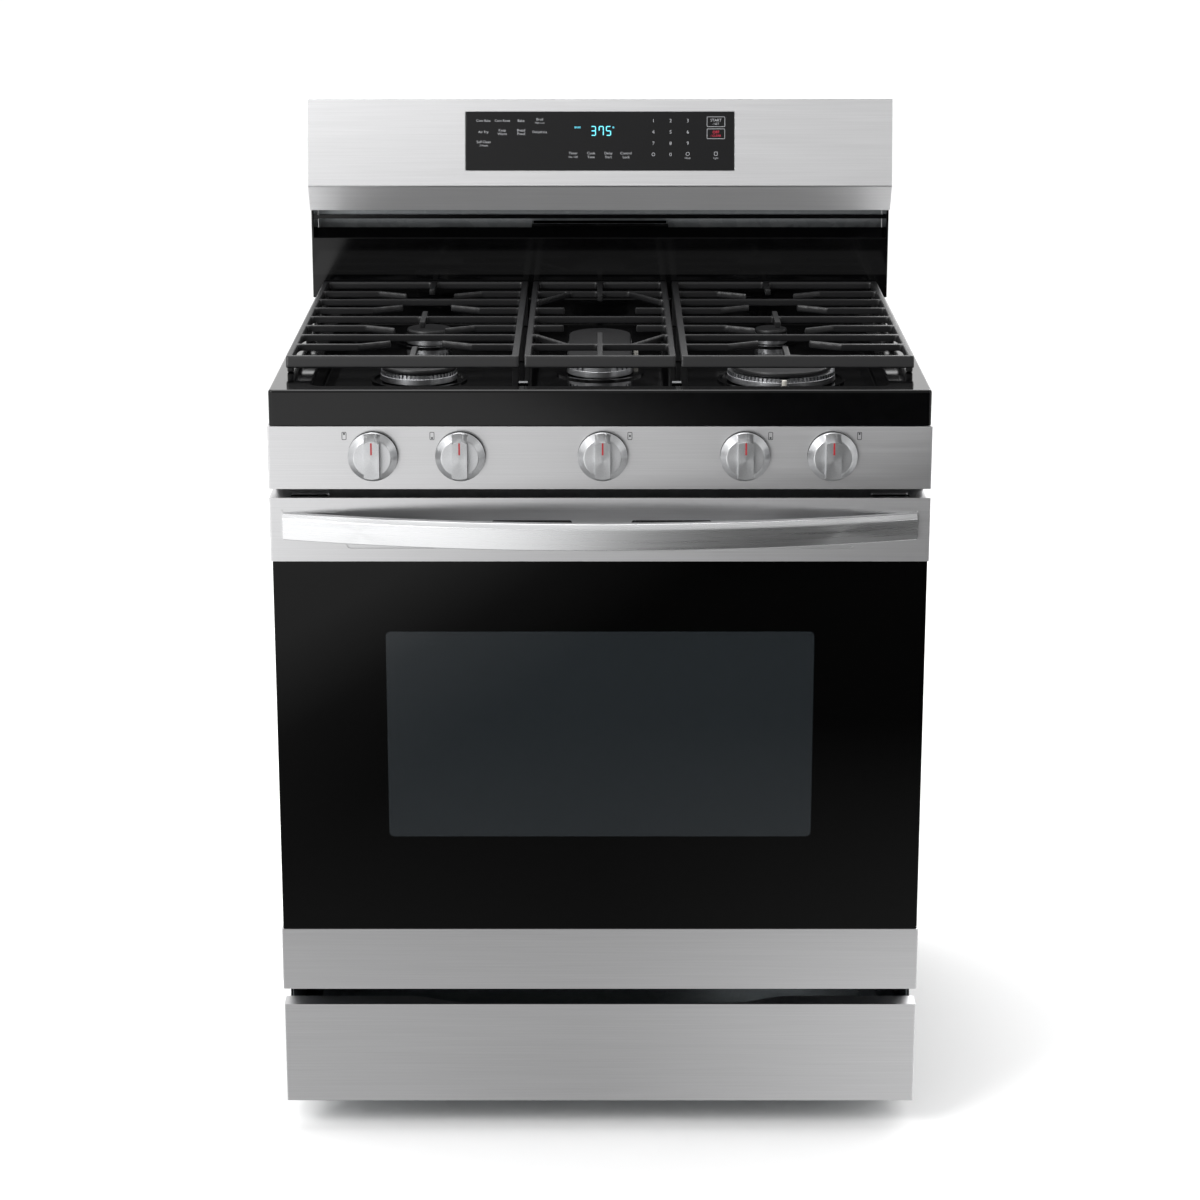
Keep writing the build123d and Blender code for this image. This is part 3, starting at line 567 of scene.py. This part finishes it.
# %% [markdown]
# ## Cooktop pressing and splash panel
# The cooktop is one deep-drawn pressing: a flat ledge all round, a rounded rim, and a pan that catches
# spills. A drawn rim has a generous radius, because enamel chips off a sharp one. Its solid has square
# rims, so the copy gets 3 mm on the rim and in the corner of the pan.

# %% Cooktop and splash panel
cooktop = solid_copy("cooktop", "cooktop_pressing")
PAN_HALF, PAN_FRONT, PAN_BACK, PAN_CORNER = 330, 26, 598, 14
RIM_UP, PAN_UP = 914, 880


def on_pan_edge(a, b, height):
    """True for an edge of the pan's outline at one height."""
    on_side = all(near(abs(p.x), PAN_HALF, PAN_CORNER) or near(back_of(p), PAN_FRONT, PAN_CORNER)
                  or near(back_of(p), PAN_BACK, PAN_CORNER) for p in (a, b))
    inside = all(abs(p.x) < (PAN_HALF + 0.5) * MM
                 and (PAN_FRONT - 0.5) * MM < back_of(p) < (PAN_BACK + 0.5) * MM for p in (a, b))
    return near(a.z, height) and near(b.z, height) and on_side and inside


round_edges(cooktop, 3.0, 4, lambda a, b: on_pan_edge(a, b, RIM_UP) or on_pan_edge(a, b, PAN_UP))
soften(cooktop, 0.5)
fit(cooktop, "black_enamel", "range", "cooktop")

splash = solid_copy("backguard", "splash_panel")
soften(splash, 0.6)
fit(splash, "black_enamel", "range", "backguard")

# %% [markdown]
# Two small posts stand in the pan between the grates, with a grey rubber sleeve on each so that the iron
# doesn't chip the enamel. The sleeve is a block just larger than its post, pulled in a little at the top.

# %% Grate bumpers
POST_ACROSS = 88.5
sleeve = add_block("sleeve", (-POST_ACROSS - 6.3, -POST_ACROSS + 6.3), (59.6, 70.4), (900, 910.4))
choose(sleeve, "FACE", lambda middle, normal: normal.z > 0.9)
bpy.ops.transform.resize(value=(0.86, 0.86, 1), center_override=place(-POST_ACROSS, 65, 910))
leave_edit()
soften(sleeve, 0.8, 3)
bumpers = [sleeve, copy_by(sleeve, "sleeve", Vector((2 * POST_ACROSS * MM, 0, 0)))]
fit(join(bumpers, "grate_bumpers"), "grey_silicone", "range", slot="black_plastic")

# %% [markdown]
# ## Cast-iron grates
# Castings have no sharp corners: sand moulds and enamel round everything by a millimetre or two,
# and the places where bars meet have small fillets. A voxel remesh melts the crossing bars of the solid
# into one skin, smoothing rounds it, and decimation takes out the faces that flat runs don't need.

# %% Grates
GRATE_VOXEL = 1.5 * MM
FACES_KEPT = 0.3
for word in ("left", "centre", "right"):
    grate = solid_copy(f"grate_{word}", f"cast_grate_{word}")
    modify(grate, "REMESH", mode="VOXEL", voxel_size=GRATE_VOXEL)
    modify(grate, "SMOOTH", factor=0.6, iterations=3)
    modify(grate, "DECIMATE", ratio=FACES_KEPT)
    smooth(grate, 50)
    fit(grate, "grate_iron", f"grate_{word}", f"grate_{word}")

# %% [markdown]
# ## Burners
# A sealed burner is an aluminium ring with flame ports milled round its rim, and a heavy enamelled cap that
# lies on it. The ring is grown from a circle. Every second face of its upper band is then pushed
# inwards, which leaves the teeth between the ports.

# %% Burner rings and caps
# across, back, ring radius and number of sides, twice the number of ports
BURNERS = {"front_left": (-218, 226, 46, 108), "rear_left": (-218, 458, 29, 72),
           "rear_right": (218, 458, 21, 48), "front_right": (218, 226, 65, 152)}
RING_FOOT, RING_SHELF, RING_TOP = 864, 881.5, 893.6
PORTS_LOW, PORTS_HIGH = RING_SHELF + 7.8, RING_TOP - 0.2


def ring_profile(radius):
    """Foot, shelf, smooth band, toothed band, bore."""
    foot = 0.83 * radius
    return [(foot, RING_FOOT), (foot, RING_SHELF - 1), (radius - 1.2, RING_SHELF), (radius, RING_SHELF + 0.8),
            (radius, RING_SHELF + 7.2), (radius - 0.4, RING_SHELF + 7.6), (radius - 0.6, RING_TOP),
            (0.5 * radius, RING_TOP), (0.45 * radius, RING_FOOT + 3)]


def in_port_band(middle, normal):
    """True for an upright face of the band that the ports are milled in."""
    return PORTS_LOW * MM < middle.z < PORTS_HIGH * MM and abs(normal.z) < 0.3


def mill_ports(ring, centre, sides, radius):
    """Pushes every second face of the upper band inwards."""
    def is_port(middle, normal):
        side = math.atan2(middle.y - centre.y, middle.x - centre.x) / math.tau * sides
        outside = (middle - centre).xy.length > (radius - 2) * MM
        return in_port_band(middle, normal) and math.floor(side) % 2 == 0 and outside
    choose(ring, "FACE", is_port)
    extrude()
    depth = 1 - 2.4 / radius
    bpy.ops.transform.resize(value=(depth, depth, 1), center_override=centre)
    leave_edit()


def cap_profile(radius, top=900.4):
    """A cap with a rounded rim and a top that rises a touch towards its middle."""
    return [(radius - 1.6, 894.3), (radius - 0.3, 894.8), (radius, 896), (radius - 0.1, 898.4),
            (radius - 0.9, 899.7), (radius - 2.4, top - 0.2), (0.72 * radius, top - 0.05),
            (0.3 * radius, top)]


def push_notch(ring, centre, way):
    """Pushes a few side faces inwards, to make room for the spark electrode."""
    choose(ring, "FACE", lambda middle, normal: abs(middle.x - centre.x) < 5.6 * MM
           and (middle.y - centre.y) * way > 15 * MM and abs(normal.z) < 0.3
           and (RING_SHELF + 0.9) * MM < middle.z < RING_TOP * MM)
    extrude((0, -way * 7 * MM, 0))
    leave_edit()


rings = []
for name, (across, back, radius, sides) in BURNERS.items():
    centre = place(across, back, 0)
    ring = turned(f"ring_{name}", centre, ring_profile(radius), sides=sides)
    push_notch(ring, centre, -1 if name == "front_right" else 1)
    mill_ports(ring, centre, sides, radius)
    rings.append(ring)
    cap_radius = radius * (0.93 if radius > 60 else 0.97)
    cap = turned(f"burner_cap_{name}", centre, cap_profile(cap_radius), sides=96)
    smooth(cap)
    fit(cap, "cap_enamel", f"cap_{name}", f"cap_{name}")

# %% [markdown]
# The centre burner is long. A circle becomes a long oval when its two halves are pulled apart, so the
# same ring and cap are turned first and stretched after. The straight sides are then subdivided, because
# ports need faces there too.

# %% Oval burner
OVAL_RADIUS, HALF_STRAIGHT, PORT_PITCH = 40, 76, 2.71
middle_burner = place(0, 342, 0)


def pull_apart(piece):
    """Moves the front and rear halves of a round piece away from each other."""
    for way in (-1, 1):
        choose(piece, "VERT", lambda p: (p.y - middle_burner.y) * way > 0.01 * MM)
        bpy.ops.transform.translate(value=(0, way * HALF_STRAIGHT * MM, 0))
    leave_edit()


oval = turned("ring_centre", middle_burner, ring_profile(OVAL_RADIUS), sides=96)
pull_apart(oval)
choose(oval, "EDGE", lambda a, b: 60 * MM < abs(a.y - b.y) and abs(a.z - b.z) < 0.1 * MM)
bpy.ops.mesh.subdivide(number_cuts=27)
# a metre is added to the distance so that the count of pitches starts in front of the ring
choose(oval, "FACE", lambda middle, normal: in_port_band(middle, normal) and abs(middle.x) > 14 * MM
       and math.floor((middle.y - middle_burner.y + 1) / (PORT_PITCH * MM)) % 2 == 0)
extrude()
bpy.ops.transform.resize(value=(0.94, 0.985, 1), center_override=middle_burner)
leave_edit()
rings.append(oval)

oval_cap = turned("burner_cap_centre", middle_burner, cap_profile(OVAL_RADIUS - 1), sides=96)
pull_apart(oval_cap)
smooth(oval_cap)
fit(oval_cap, "cap_enamel", "cap_centre", "cap_centre")

flame_rings = join(rings, "flame_rings")
smooth(flame_rings)
fit(flame_rings, "burner_alloy", "range", *[f"head_{position}" for position in POSITIONS])

# %% [markdown]
# ## Knobs
# Each knob is a shallow cone with a grip bar of the same outline standing across it. The bar is a taller
# cone with both its sides sliced off. A union makes them one piece, and a small bevel on every edge
# makes the bright lines that turned aluminium shows. One knob is made and copied along the panel.

# %% Knobs
KNOB_CENTRES = dict(zip(POSITIONS, (-258.5, -159, 3, 165, 264.5)))
KNOB_UP, GRIP_HALF, GRIP_FRONT = 838, 8.7, 28.4
SKIRT_PROFILE = [(27.9, 5), (28.4, 5.5), (28.4, 6.6), (22.0, 13.4), (21.2, 13.8), (20.6, 13.8)]
first_x = KNOB_CENTRES["front_left"]
hub = place(first_x, 0, KNOB_UP)
knob = turned("knob", hub, SKIRT_PROFILE, lying=True)
grip = turned("grip", hub, [(27.4, 6), (21.4, GRIP_FRONT)], lying=True)
for side in (-1, 1):
    cut_off(grip, place(first_x + side * GRIP_HALF, 0, KNOB_UP), (side, 0, 0))
modify(knob, "BOOLEAN", object=grip, operation="UNION", solver="EXACT")
bpy.data.objects.remove(grip)
soften(knob, 0.45, 3)

# %% [markdown]
# The red pointer is enamel in a groove along the top of the grip. It is a narrow strip that lies on the
# bar's face and folds over its end, extruded one edge at a time and given a thickness.

# %% Red pointer line
select_only()
bpy.ops.mesh.primitive_plane_add(size=1, location=place(first_x, -GRIP_FRONT - 0.05, KNOB_UP + 13.8),
                                 rotation=(math.radians(90), 0, 0))
bpy.context.object.scale = (1.9 * MM, 13.6 * MM, 1)
line = apply_place("pointer_line")
choose(line, "EDGE", lambda a, b: a.z > (KNOB_UP + 20) * MM and b.z > (KNOB_UP + 20) * MM)
extrude((0, 0.6 * MM, 0.55 * MM))
extrude((0, 9.0 * MM, 2.5 * MM))
leave_edit()
modify(line, "SOLIDIFY", thickness=0.4 * MM, offset=0)
smooth(line)

for position, across in KNOB_CENTRES.items():
    shift = Vector(((across - first_x) * MM, 0, 0))
    body = f"knob_{position}"
    fit(copy_by(knob, f"control_knob_{position}", shift), "knob_metal", body, body)
    fit(copy_by(line, f"knob_line_{position}", shift), "red_enamel", body, slot="knob_metal")
bpy.data.objects.remove(knob)
bpy.data.objects.remove(line)

# %% [markdown]
# ## Printing on the knob panel
# A small outline beside each knob stands for the cooktop, with a dot for the burner that it works. Ink is
# a film a few hundredths of a millimetre thick. Here it is a tenth, so that it has an edge.


# %% Burner marks
def flat_mark(name, across, back, up, wide, high, corner, tilt=0.0, frame_width=0.0):
    """A flat printed shape with rounded corners: solid, or an outline if it has a frame width."""
    select_only()
    bpy.ops.mesh.primitive_plane_add(size=1, location=place(across, back, up),
                                     rotation=(math.radians(90 - tilt), 0, 0))
    bpy.context.object.scale = (wide * MM, high * MM, 1)
    mark = apply_place(name)
    bpy.ops.object.mode_set(mode="EDIT")
    bpy.ops.mesh.select_all(action="SELECT")
    bpy.ops.mesh.bevel(offset=corner * MM, segments=4, affect="VERTICES")
    bpy.ops.mesh.select_mode(type="FACE")
    if frame_width:
        bpy.ops.mesh.select_all(action="SELECT")
        bpy.ops.mesh.inset(thickness=frame_width * MM)
        bpy.ops.mesh.delete(type="FACE")
    leave_edit()
    modify(mark, "SOLIDIFY", thickness=0.12 * MM, offset=0)
    return mark


MARK_UP, MARK_BACK = 861, -0.05
marks = []
for across, dot in ((-291, 2.4), (-191, -2.4), (34, 0), (194, -2.4), (295, 2.4)):
    marks.append(flat_mark("mark", across, MARK_BACK, MARK_UP, 5.4, 9.2, 1.2, frame_width=0.7))
    marks.append(flat_mark("dot", across, MARK_BACK, MARK_UP + dot, 2.3, 2.3, 1.0))
fit(join(marks, "burner_marks"), "panel_ink", "range", slot="stainless")

# %% [markdown]
# ## Touch panel
# The touch panel is one sheet of glass set into the sloping console, with its words printed on it. They
# are text objects turned to meshes, and lie on the glass because its black lets nothing through. The lit
# figures are built from bars, seven to a figure, as a segment display is.

# %% Touch glass
FACE_RISE, FACE_RUN = 110.0, 22.0
CREASE_BACK, CREASE_UP = 570, 1065
TOUCH_HALF = 174
TILT = math.degrees(math.atan2(FACE_RUN, FACE_RISE))
touch = solid_copy("control_display", "touch_panel")
round_edges(touch, 2.2, 4, lambda a, b: near(abs(a.x), TOUCH_HALF) and near(abs(b.x), TOUCH_HALF)
            and abs(a.y - b.y) > 2.5 * MM)
soften(touch, 0.2)
fit(touch, "touch_glass", "range", "control_display")


def on_face(across, along, out=0.9):
    """A point on the console's sloping face: across, along it from its crease, and out from it."""
    length = math.hypot(FACE_RISE, FACE_RUN)
    up, back = FACE_RISE / length, FACE_RUN / length
    return across, CREASE_BACK + along * back - out * up, CREASE_UP + along * up + out * back


def print_words(words, across, along, size):
    """Printed words, centred on a place on the sloping glass."""
    select_only()
    bpy.ops.object.text_add(location=place(*on_face(across, along - 0.35 * size)),
                            rotation=(math.radians(90 - TILT), 0, 0))
    text = bpy.context.object
    text.data.body = words
    text.data.size = size * MM
    text.data.align_x = "CENTER"
    text.data.extrude = 0.05 * MM
    text.data.resolution_u = 3
    bpy.ops.object.convert(target="MESH")
    return apply_place("words")


# words, across, along the slope from the crease, and letter size
LABELS = (
    ("Conv Bake", -150.9, 84.3, 4.2), ("Conv Roast", -126.3, 84.3, 4.2), ("Bake", -102.2, 84.3, 4.6),
    ("Broil", -78, 86, 4.6), ("High Low", -78, 81.6, 3.2),
    ("Air Fry", -150.9, 69.8, 4.6), ("Keep", -126.5, 72, 4.6), ("Warm", -126.5, 67.4, 4.6),
    ("Bread", -102.2, 72, 4.6), ("Proof", -102.2, 67.4, 4.6), ("Dehydrate", -78, 69.8, 4.4),
    ("Self Clean", -150.5, 57, 4.6), ("3 Hours", -150.5, 52.4, 3.4),
    ("Timer", -34.8, 42.6, 4.6), ("On / Off", -34.8, 37.6, 3.4), ("Cook", -11.5, 42.6, 4.6),
    ("Time", -11.5, 37.6, 4.6), ("Delay", 10.9, 42.6, 4.6), ("Start", 10.9, 37.6, 4.6),
    ("Control", 33.8, 42.6, 4.6), ("Lock", 33.8, 37.6, 4.6),
    *((str(3 * row + column + 1), 69.1 + 22.25 * column, 84.3 - 14.5 * row, 6.2)
      for row in range(3) for column in range(3)),
    ("0", 91.3, 40.9, 6.2), ("Clock", 113.6, 36.4, 3.2), ("Light", 150, 36.4, 3.2),
    ("START", 150, 84.9, 5.0), ("/ SET", 150, 80.2, 3.8),
)
prints = [print_words(*label) for label in LABELS]


def outline(across, along, wide, high, corner, line=0.6):
    """A printed frame on the sloping glass."""
    return flat_mark("outline", *on_face(across, along), wide, high, corner, TILT, line)


OUTLINES = ((150, 82.8, 23.5, 13.2, 1.2), (150, 67.4, 23.5, 13.2, 1.2), (69.1, 41, 4.4, 4.4, 2.1),
            (113.6, 41.6, 5.0, 5.0, 2.4), (150, 41.8, 4.6, 5.0, 1.2))
prints += [outline(*measures) for measures in OUTLINES]
fit(join(prints, "touch_panel_print"), "print_ink", "range", slot="touch_glass")
red_words = [print_words("OFF", 150, 69.6, 5.0), print_words("/ CLEAR", 150, 65, 3.8)]
fit(join(red_words, "touch_panel_off"), "red_ink", "range", slot="touch_glass")

# %% [markdown]
# A segment figure has seven bars: top, middle, bottom, and two on each side. Each figure below is the list
# of the bars that are lit.

# %% Lit figures
BARS = {"top": (0, 1, 0), "middle": (0, 0, 0), "bottom": (0, -1, 0), "upper_left": (-1, 0.5, 1),
        "upper_right": (1, 0.5, 1), "lower_left": (-1, -0.5, 1), "lower_right": (1, -0.5, 1)}
FIGURES = (
    (-8.5, ("top", "middle", "bottom", "upper_right", "lower_right")),
    (1.6, ("top", "upper_left", "upper_right", "lower_right")),
    (11.0, ("top", "middle", "bottom", "upper_left", "lower_right")),
)
FIGURE_HALF_WIDTH, FIGURE_HALF_HEIGHT, BAR_THICK, FIGURE_ALONG = 2.7, 5.7, 1.25, 71.1
FLAT_BAR = (2 * FIGURE_HALF_WIDTH - 0.5, BAR_THICK)
UPRIGHT_BAR = (BAR_THICK, FIGURE_HALF_HEIGHT - 0.5)
lit = [print_words("BAKE", -29, 75.6, 3.4), outline(17.2, 75.6, 2.2, 2.2, 1.0, 0.5)]
for across, bars in FIGURES:
    for bar in bars:
        side, level, upright = BARS[bar]
        spot = on_face(across + side * FIGURE_HALF_WIDTH, FIGURE_ALONG + level * FIGURE_HALF_HEIGHT)
        lit.append(flat_mark("bar", *spot, *(UPRIGHT_BAR if upright else FLAT_BAR), 0.5, TILT))
fit(join(lit, "lit_figures"), "display_phosphor", "range", slot="touch_glass")

# %% [markdown]
# ## Oven door
# The outer pane is a plain sheet with polished edges. Behind each vent slot in the trim is a fine black
# mesh, made here from a grid whose edges become wires.

# %% Door pane and vent mesh
PANE_HALF = 376.5
pane = add_block("door_pane", (-PANE_HALF, PANE_HALF), (1, 5), (261.5, 713.3))
round_edges(pane, 1.2, 3, lambda a, b: near(abs(a.x), PANE_HALF) and near(abs(b.x), PANE_HALF)
            and abs(a.y - b.y) > 3 * MM)
soften(pane, 0.5)
fit(pane, "black_glass", "oven_door", "door_glass")

VENT_SLOTS = ((-213.5, 20.5), (-78, 46), (82, 46), (217, 21))  # middle and half length
meshes = []
for across, reach in VENT_SLOTS:
    select_only()
    bpy.ops.mesh.primitive_grid_add(x_subdivisions=round(reach), y_subdivisions=6, size=1,
                                    location=place(across, 1.6, 756.5), rotation=(math.radians(90), 0, 0))
    bpy.context.object.scale = (2 * (reach + 0.6) * MM, 12.2 * MM, 1)
    mesh = apply_place("mesh")
    modify(mesh, "WIREFRAME", thickness=0.8 * MM, use_replace=True)
    meshes.append(mesh)
fit(join(meshes, "vent_mesh"), "black_plastic", "oven_door", slot="black_plastic")

# %% [markdown]
# ## Bowed handle
# The handle is a heavy stainless extrusion rolled to a gentle bow. Its section is drawn once as a small
# rectangle with a wide bevel along the top front edge and small radii elsewhere. Spin carries it round the
# bow's centre, and cuts at the ends and along the trim's face trim it to length.

# %% Handle
HANDLE_HALF, HANDLE_LOW, HANDLE_HIGH, HANDLE_DEPTH = 363, 741, 771, 13
HANDLE_MIDDLE, HANDLE_FRONT, BOW_RADIUS = 756, -59, 1293.0
bow_centre = place(0, HANDLE_FRONT + BOW_RADIUS, HANDLE_MIDDLE)
swing = math.asin((HANDLE_HALF + 12) / BOW_RADIUS)
select_only()
section_middle = bow_centre + Vector((0, -(BOW_RADIUS - HANDLE_DEPTH / 2) * MM, 0))
bpy.ops.mesh.primitive_plane_add(size=1, location=section_middle, rotation=(0, math.radians(90), 0))
bpy.context.object.scale = ((HANDLE_HIGH - HANDLE_LOW) * MM, HANDLE_DEPTH * MM, 1)
handle = apply_place("door_handle_bar")
front = section_middle.y
choose(handle, "VERT", lambda p: p.y < front and p.z > HANDLE_MIDDLE * MM)
bpy.ops.mesh.bevel(offset=5.5 * MM, segments=1, affect="VERTICES")
leave_edit()
choose(handle, "VERT", lambda p: True)
bpy.ops.mesh.bevel(offset=0.9 * MM, segments=3, affect="VERTICES")
bpy.ops.mesh.select_all(action="SELECT")
bpy.ops.transform.rotate(value=swing, orient_axis="Z", center_override=bow_centre)
leave_edit()
start_side = 1 if handle.data.vertices[0].co.x > 0 else -1
choose(handle, "FACE", lambda middle, normal: True)
bpy.ops.mesh.spin(steps=120, angle=2 * swing * start_side, center=bow_centre, axis=(0, 0, 1))
bpy.ops.mesh.select_all(action="SELECT")
bpy.ops.mesh.remove_doubles(threshold=0.01 * MM)
bpy.ops.mesh.normals_make_consistent(inside=False)
leave_edit()
xs = [p.co.x for p in handle.data.vertices]
print("handle sweep from", round(min(xs), 4), "to", round(max(xs), 4))
for side in (-1, 1):
    cut_off(handle, place(side * HANDLE_HALF, 0, HANDLE_MIDDLE), (side, 0, 0))
cut_off(handle, place(0, -0.1, HANDLE_MIDDLE), (0, 1, 0))
smooth(handle, 30)
fit(handle, "handle_steel", "oven_door", "door_handle")

# %% [markdown]
# ## Wire racks
# Oven racks are welded from round bright-plated wire: nineteen thin wires from front to back, two heavy
# side rails, and cross wires under them. Each is a cylinder with rounded ends, laid between two points.
# The thin ones are alike, so one is made and copied.


# %% Racks
def rod(start, end, thick):
    """A round wire between two points given as across, back and up."""
    select_only()
    a, b = place(*start), place(*end)
    bpy.ops.mesh.primitive_cylinder_add(vertices=10, radius=thick / 2 * MM, depth=(b - a).length,
                                        location=(a + b) / 2)
    bpy.context.object.rotation_euler = (b - a).to_track_quat("Z", "Y").to_euler()
    wire = apply_place("wire")
    modify(wire, "BEVEL", width=0.3 * thick * MM, segments=1, limit_method="ANGLE",
           angle_limit=math.radians(60))
    return wire


RACK_HALF, RACK_FRONT, RACK_BACK = 298, 93, 499
THIN, HEAVY = 3.0, 4.0
WIRE_PITCH, WIRES_PER_SIDE = 28, 9
CROSS_WIRES = ((94, -1, HEAVY), (94, 3, HEAVY), (498, -1, HEAVY), (498, 12, HEAVY), (227, -2.2, THIN),
               (367, -2.2, THIN))  # back, rise above the rack's level, thickness
for word, level in (("lower", 415), ("upper", 523)):
    first = -WIRES_PER_SIDE * WIRE_PITCH
    wires = [rod((first, RACK_FRONT, level), (first, RACK_BACK, level), THIN)]
    for n in range(1, 2 * WIRES_PER_SIDE + 1):
        wires.append(copy_by(wires[0], "wire", Vector((n * WIRE_PITCH * MM, 0, 0))))
    for side in (-RACK_HALF, RACK_HALF):
        wires.append(rod((side, RACK_FRONT, level - 1), (side, RACK_BACK, level - 1), HEAVY))
    for back, rise, thick in CROSS_WIRES:
        wires.append(rod((-RACK_HALF, back, level + rise), (RACK_HALF, back, level + rise), thick))
    rack = join(wires, f"wire_rack_{word}")
    smooth(rack, 45)
    fit(rack, "rack_chrome", f"rack_{word}", f"rack_{word}")

# %% [markdown]
# ## Floor, cards and lights
# The floor is a plain pale sheet far larger than the picture. A range's front is a mirror that is
# only half blurred, so what it shows is decided by what stands in front of it. A studio puts a graded
# card there. This one lies on the floor, and only reflections see it. Its far part, which the knob panel
# and the cooktop's face mirror, falls from white on the left to black on the right. Its near part, which
# the drawer and the lower trim mirror, is grey and a little paler on the right.


# %% Floor
def stage_sheet(name, low, high, up, material):
    """A flat sheet that belongs to the studio and not to the range."""
    bpy.ops.object.select_all(action="DESELECT")
    middle = ((low[0] + high[0]) / 2, (low[1] + high[1]) / 2, up)
    bpy.ops.mesh.primitive_plane_add(size=1, location=middle)
    sheet = bpy.context.object
    sheet.name = name
    sheet.scale = (high[0] - low[0], high[1] - low[1], 1)
    bpy.ops.object.transform_apply(location=True, rotation=True, scale=True)
    sheet.data.materials.append(material)
    return sheet


paper, paper_tree, paper_shader = new_finish("studio_paper", Roughness=0.9, Specular_IOR_Level=0.1)
fibres = grain_pattern(paper_tree, 0.5)
vary(paper_tree, paper_shader, fibres.outputs["Fac"], ("f7f7f7", "fafafa"), (0.88, 0.95))
stage_sheet("studio_floor", (-40, -40), (40, 40), 0.0, paper)

# %% [markdown]
# The card shines by itself, but not for camera or shadow rays, so it neither shows nor throws light. A ramp
# across it sets the brightness of each part, and a range fades from one to the other. The far ramp slides
# sideways with distance, because each panel mirrors its own strip of the card and they differ in shading.

# %% Graded card
card_light = bpy.data.materials.new("graded_card")
card_light.use_nodes = True
card_tree = card_light.node_tree
card_tree.nodes.clear()
card_place = add_node(card_tree, "ShaderNodeTexCoord")
card_axes = add_node(card_tree, "ShaderNodeSeparateXYZ", {0: card_place.outputs["Object"]})


def card_profile(across, brightness):
    """Brightness across the card, from (x in metres, brightness up to 2) pairs."""
    span = add_node(card_tree, "ShaderNodeMapRange", {"Value": across, 1: -1.0, 2: 1.0})
    ramp = add_node(card_tree, "ShaderNodeValToRGB", {0: span.outputs[0]})
    stops = ramp.color_ramp.elements
    while len(stops) < len(brightness):
        stops.new(0.5)
    for stop, (spot, value) in zip(stops, brightness):
        stop.position = (spot + 1) / 2
        stop.color = (value / 2, value / 2, value / 2, 1)
    return ramp.outputs[0]


SLIDE, STRAIGHT_LINE = 0.4, -3.9
slant = add_node(card_tree, "ShaderNodeMath", {0: card_axes.outputs[1], 1: SLIDE, 2: -SLIDE * STRAIGHT_LINE},
                 operation="MULTIPLY_ADD")
shift = add_node(card_tree, "ShaderNodeMath", {0: slant.outputs[0]}, operation="ABSOLUTE")
slanted = add_node(card_tree, "ShaderNodeMath", {0: card_axes.outputs[0], 1: shift.outputs[0]},
                   operation="ADD")
FAR_RAMP = ((-0.9, 1.95), (0.0, 1.6), (0.3, 0.4), (0.6, 0.03), (1.0, 0.03))
NEAR_RAMP = ((-0.5, 0.66), (0.0, 0.5), (0.5, 0.92))
far_side = card_profile(slanted.outputs[0], FAR_RAMP)
near_side = card_profile(card_axes.outputs[0], NEAR_RAMP)
card_depth = add_node(card_tree, "ShaderNodeMapRange", {"Value": card_axes.outputs[1], 1: DOOR_FACE - 0.5,
                                                        2: DOOR_FACE - 1.6})
card_mix = add_node(card_tree, "ShaderNodeMix", {0: card_depth.outputs[0], 6: near_side, 7: far_side},
                    data_type="RGBA")
card_glow = add_node(card_tree, "ShaderNodeEmission", {"Color": card_mix.outputs[2], "Strength": 2.0})
add_node(card_tree, "ShaderNodeOutputMaterial", {"Surface": card_glow.outputs[0]})
card = stage_sheet("graded_card", (-4, -9), (4, DOOR_FACE - 0.03), 0.002, card_light)
for ray in ("camera", "diffuse", "transmission", "volume_scatter", "shadow"):
    setattr(card, f"visible_{ray}", False)

# %% [markdown]
# A large soft box from the upper left gives the modelling, a weaker one fills from the right, and one
# overhead lights the cooktop. A low kicker under the console's lip keeps its underside from going black.
# The studio around it is a sky that is brighter on the left than on the right in front of the range, and
# evenly bright behind it.


# %% Lights
def soft_box(name, place_at, aim, size, power):
    """A square area light that points at something."""
    data = bpy.data.lights.new(name, "AREA")
    data.shape = "SQUARE"
    data.size = size
    data.energy = power
    light = bpy.data.objects.new(name, data)
    light.location = place_at
    light.rotation_euler = (Vector(aim) - Vector(place_at)).to_track_quat("-Z", "Y").to_euler()
    light.visible_camera = False
    bpy.context.scene.collection.objects.link(light)
    return light


soft_box("key_left", (-3.0, -3.2, 3.2), (0, 0, 0.7), 1.8, 120)
soft_box("fill_right", (3.4, -2.6, 2.2), (0, 0, 0.6), 1.8, 20)
soft_box("overhead", (-0.4, 0.6, 3.6), (0, 0, 0.9), 2.2, 60)
soft_box("rim_back", (1.6, 3.6, 2.6), (0, 0, 0.7), 1.6, 40)

kicker = soft_box("kicker", place(0, 545, 950), place(0, 560, 1100), 0.76, 0.09)
kicker.data.shape = "RECTANGLE"
kicker.data.size_y = 0.13
kicker.visible_diffuse = False

world = bpy.data.worlds.new("studio")
bpy.context.scene.world = world
world.use_nodes = True
sky = world.node_tree
sky.nodes.clear()
direction = add_node(sky, "ShaderNodeTexCoord")
axes = add_node(sky, "ShaderNodeSeparateXYZ", {0: direction.outputs["Generated"]})
sideways = add_node(sky, "ShaderNodeMapRange", {"Value": axes.outputs[0], 1: -0.2, 2: 0.2, 3: 1.15, 4: 0.3})
behind = add_node(sky, "ShaderNodeMapRange", {"Value": axes.outputs[1], 1: -0.4, 2: 0.2, 3: 0.0, 4: 1.0})
around = add_node(sky, "ShaderNodeMix", {"Factor": behind.outputs[0], "A": sideways.outputs[0], "B": 1.35})
sky_light = add_node(sky, "ShaderNodeBackground", {"Color": (1, 1, 1, 1), "Strength": around.outputs[0]})
add_node(sky, "ShaderNodeOutputWorld", {"Surface": sky_light.outputs[0]})
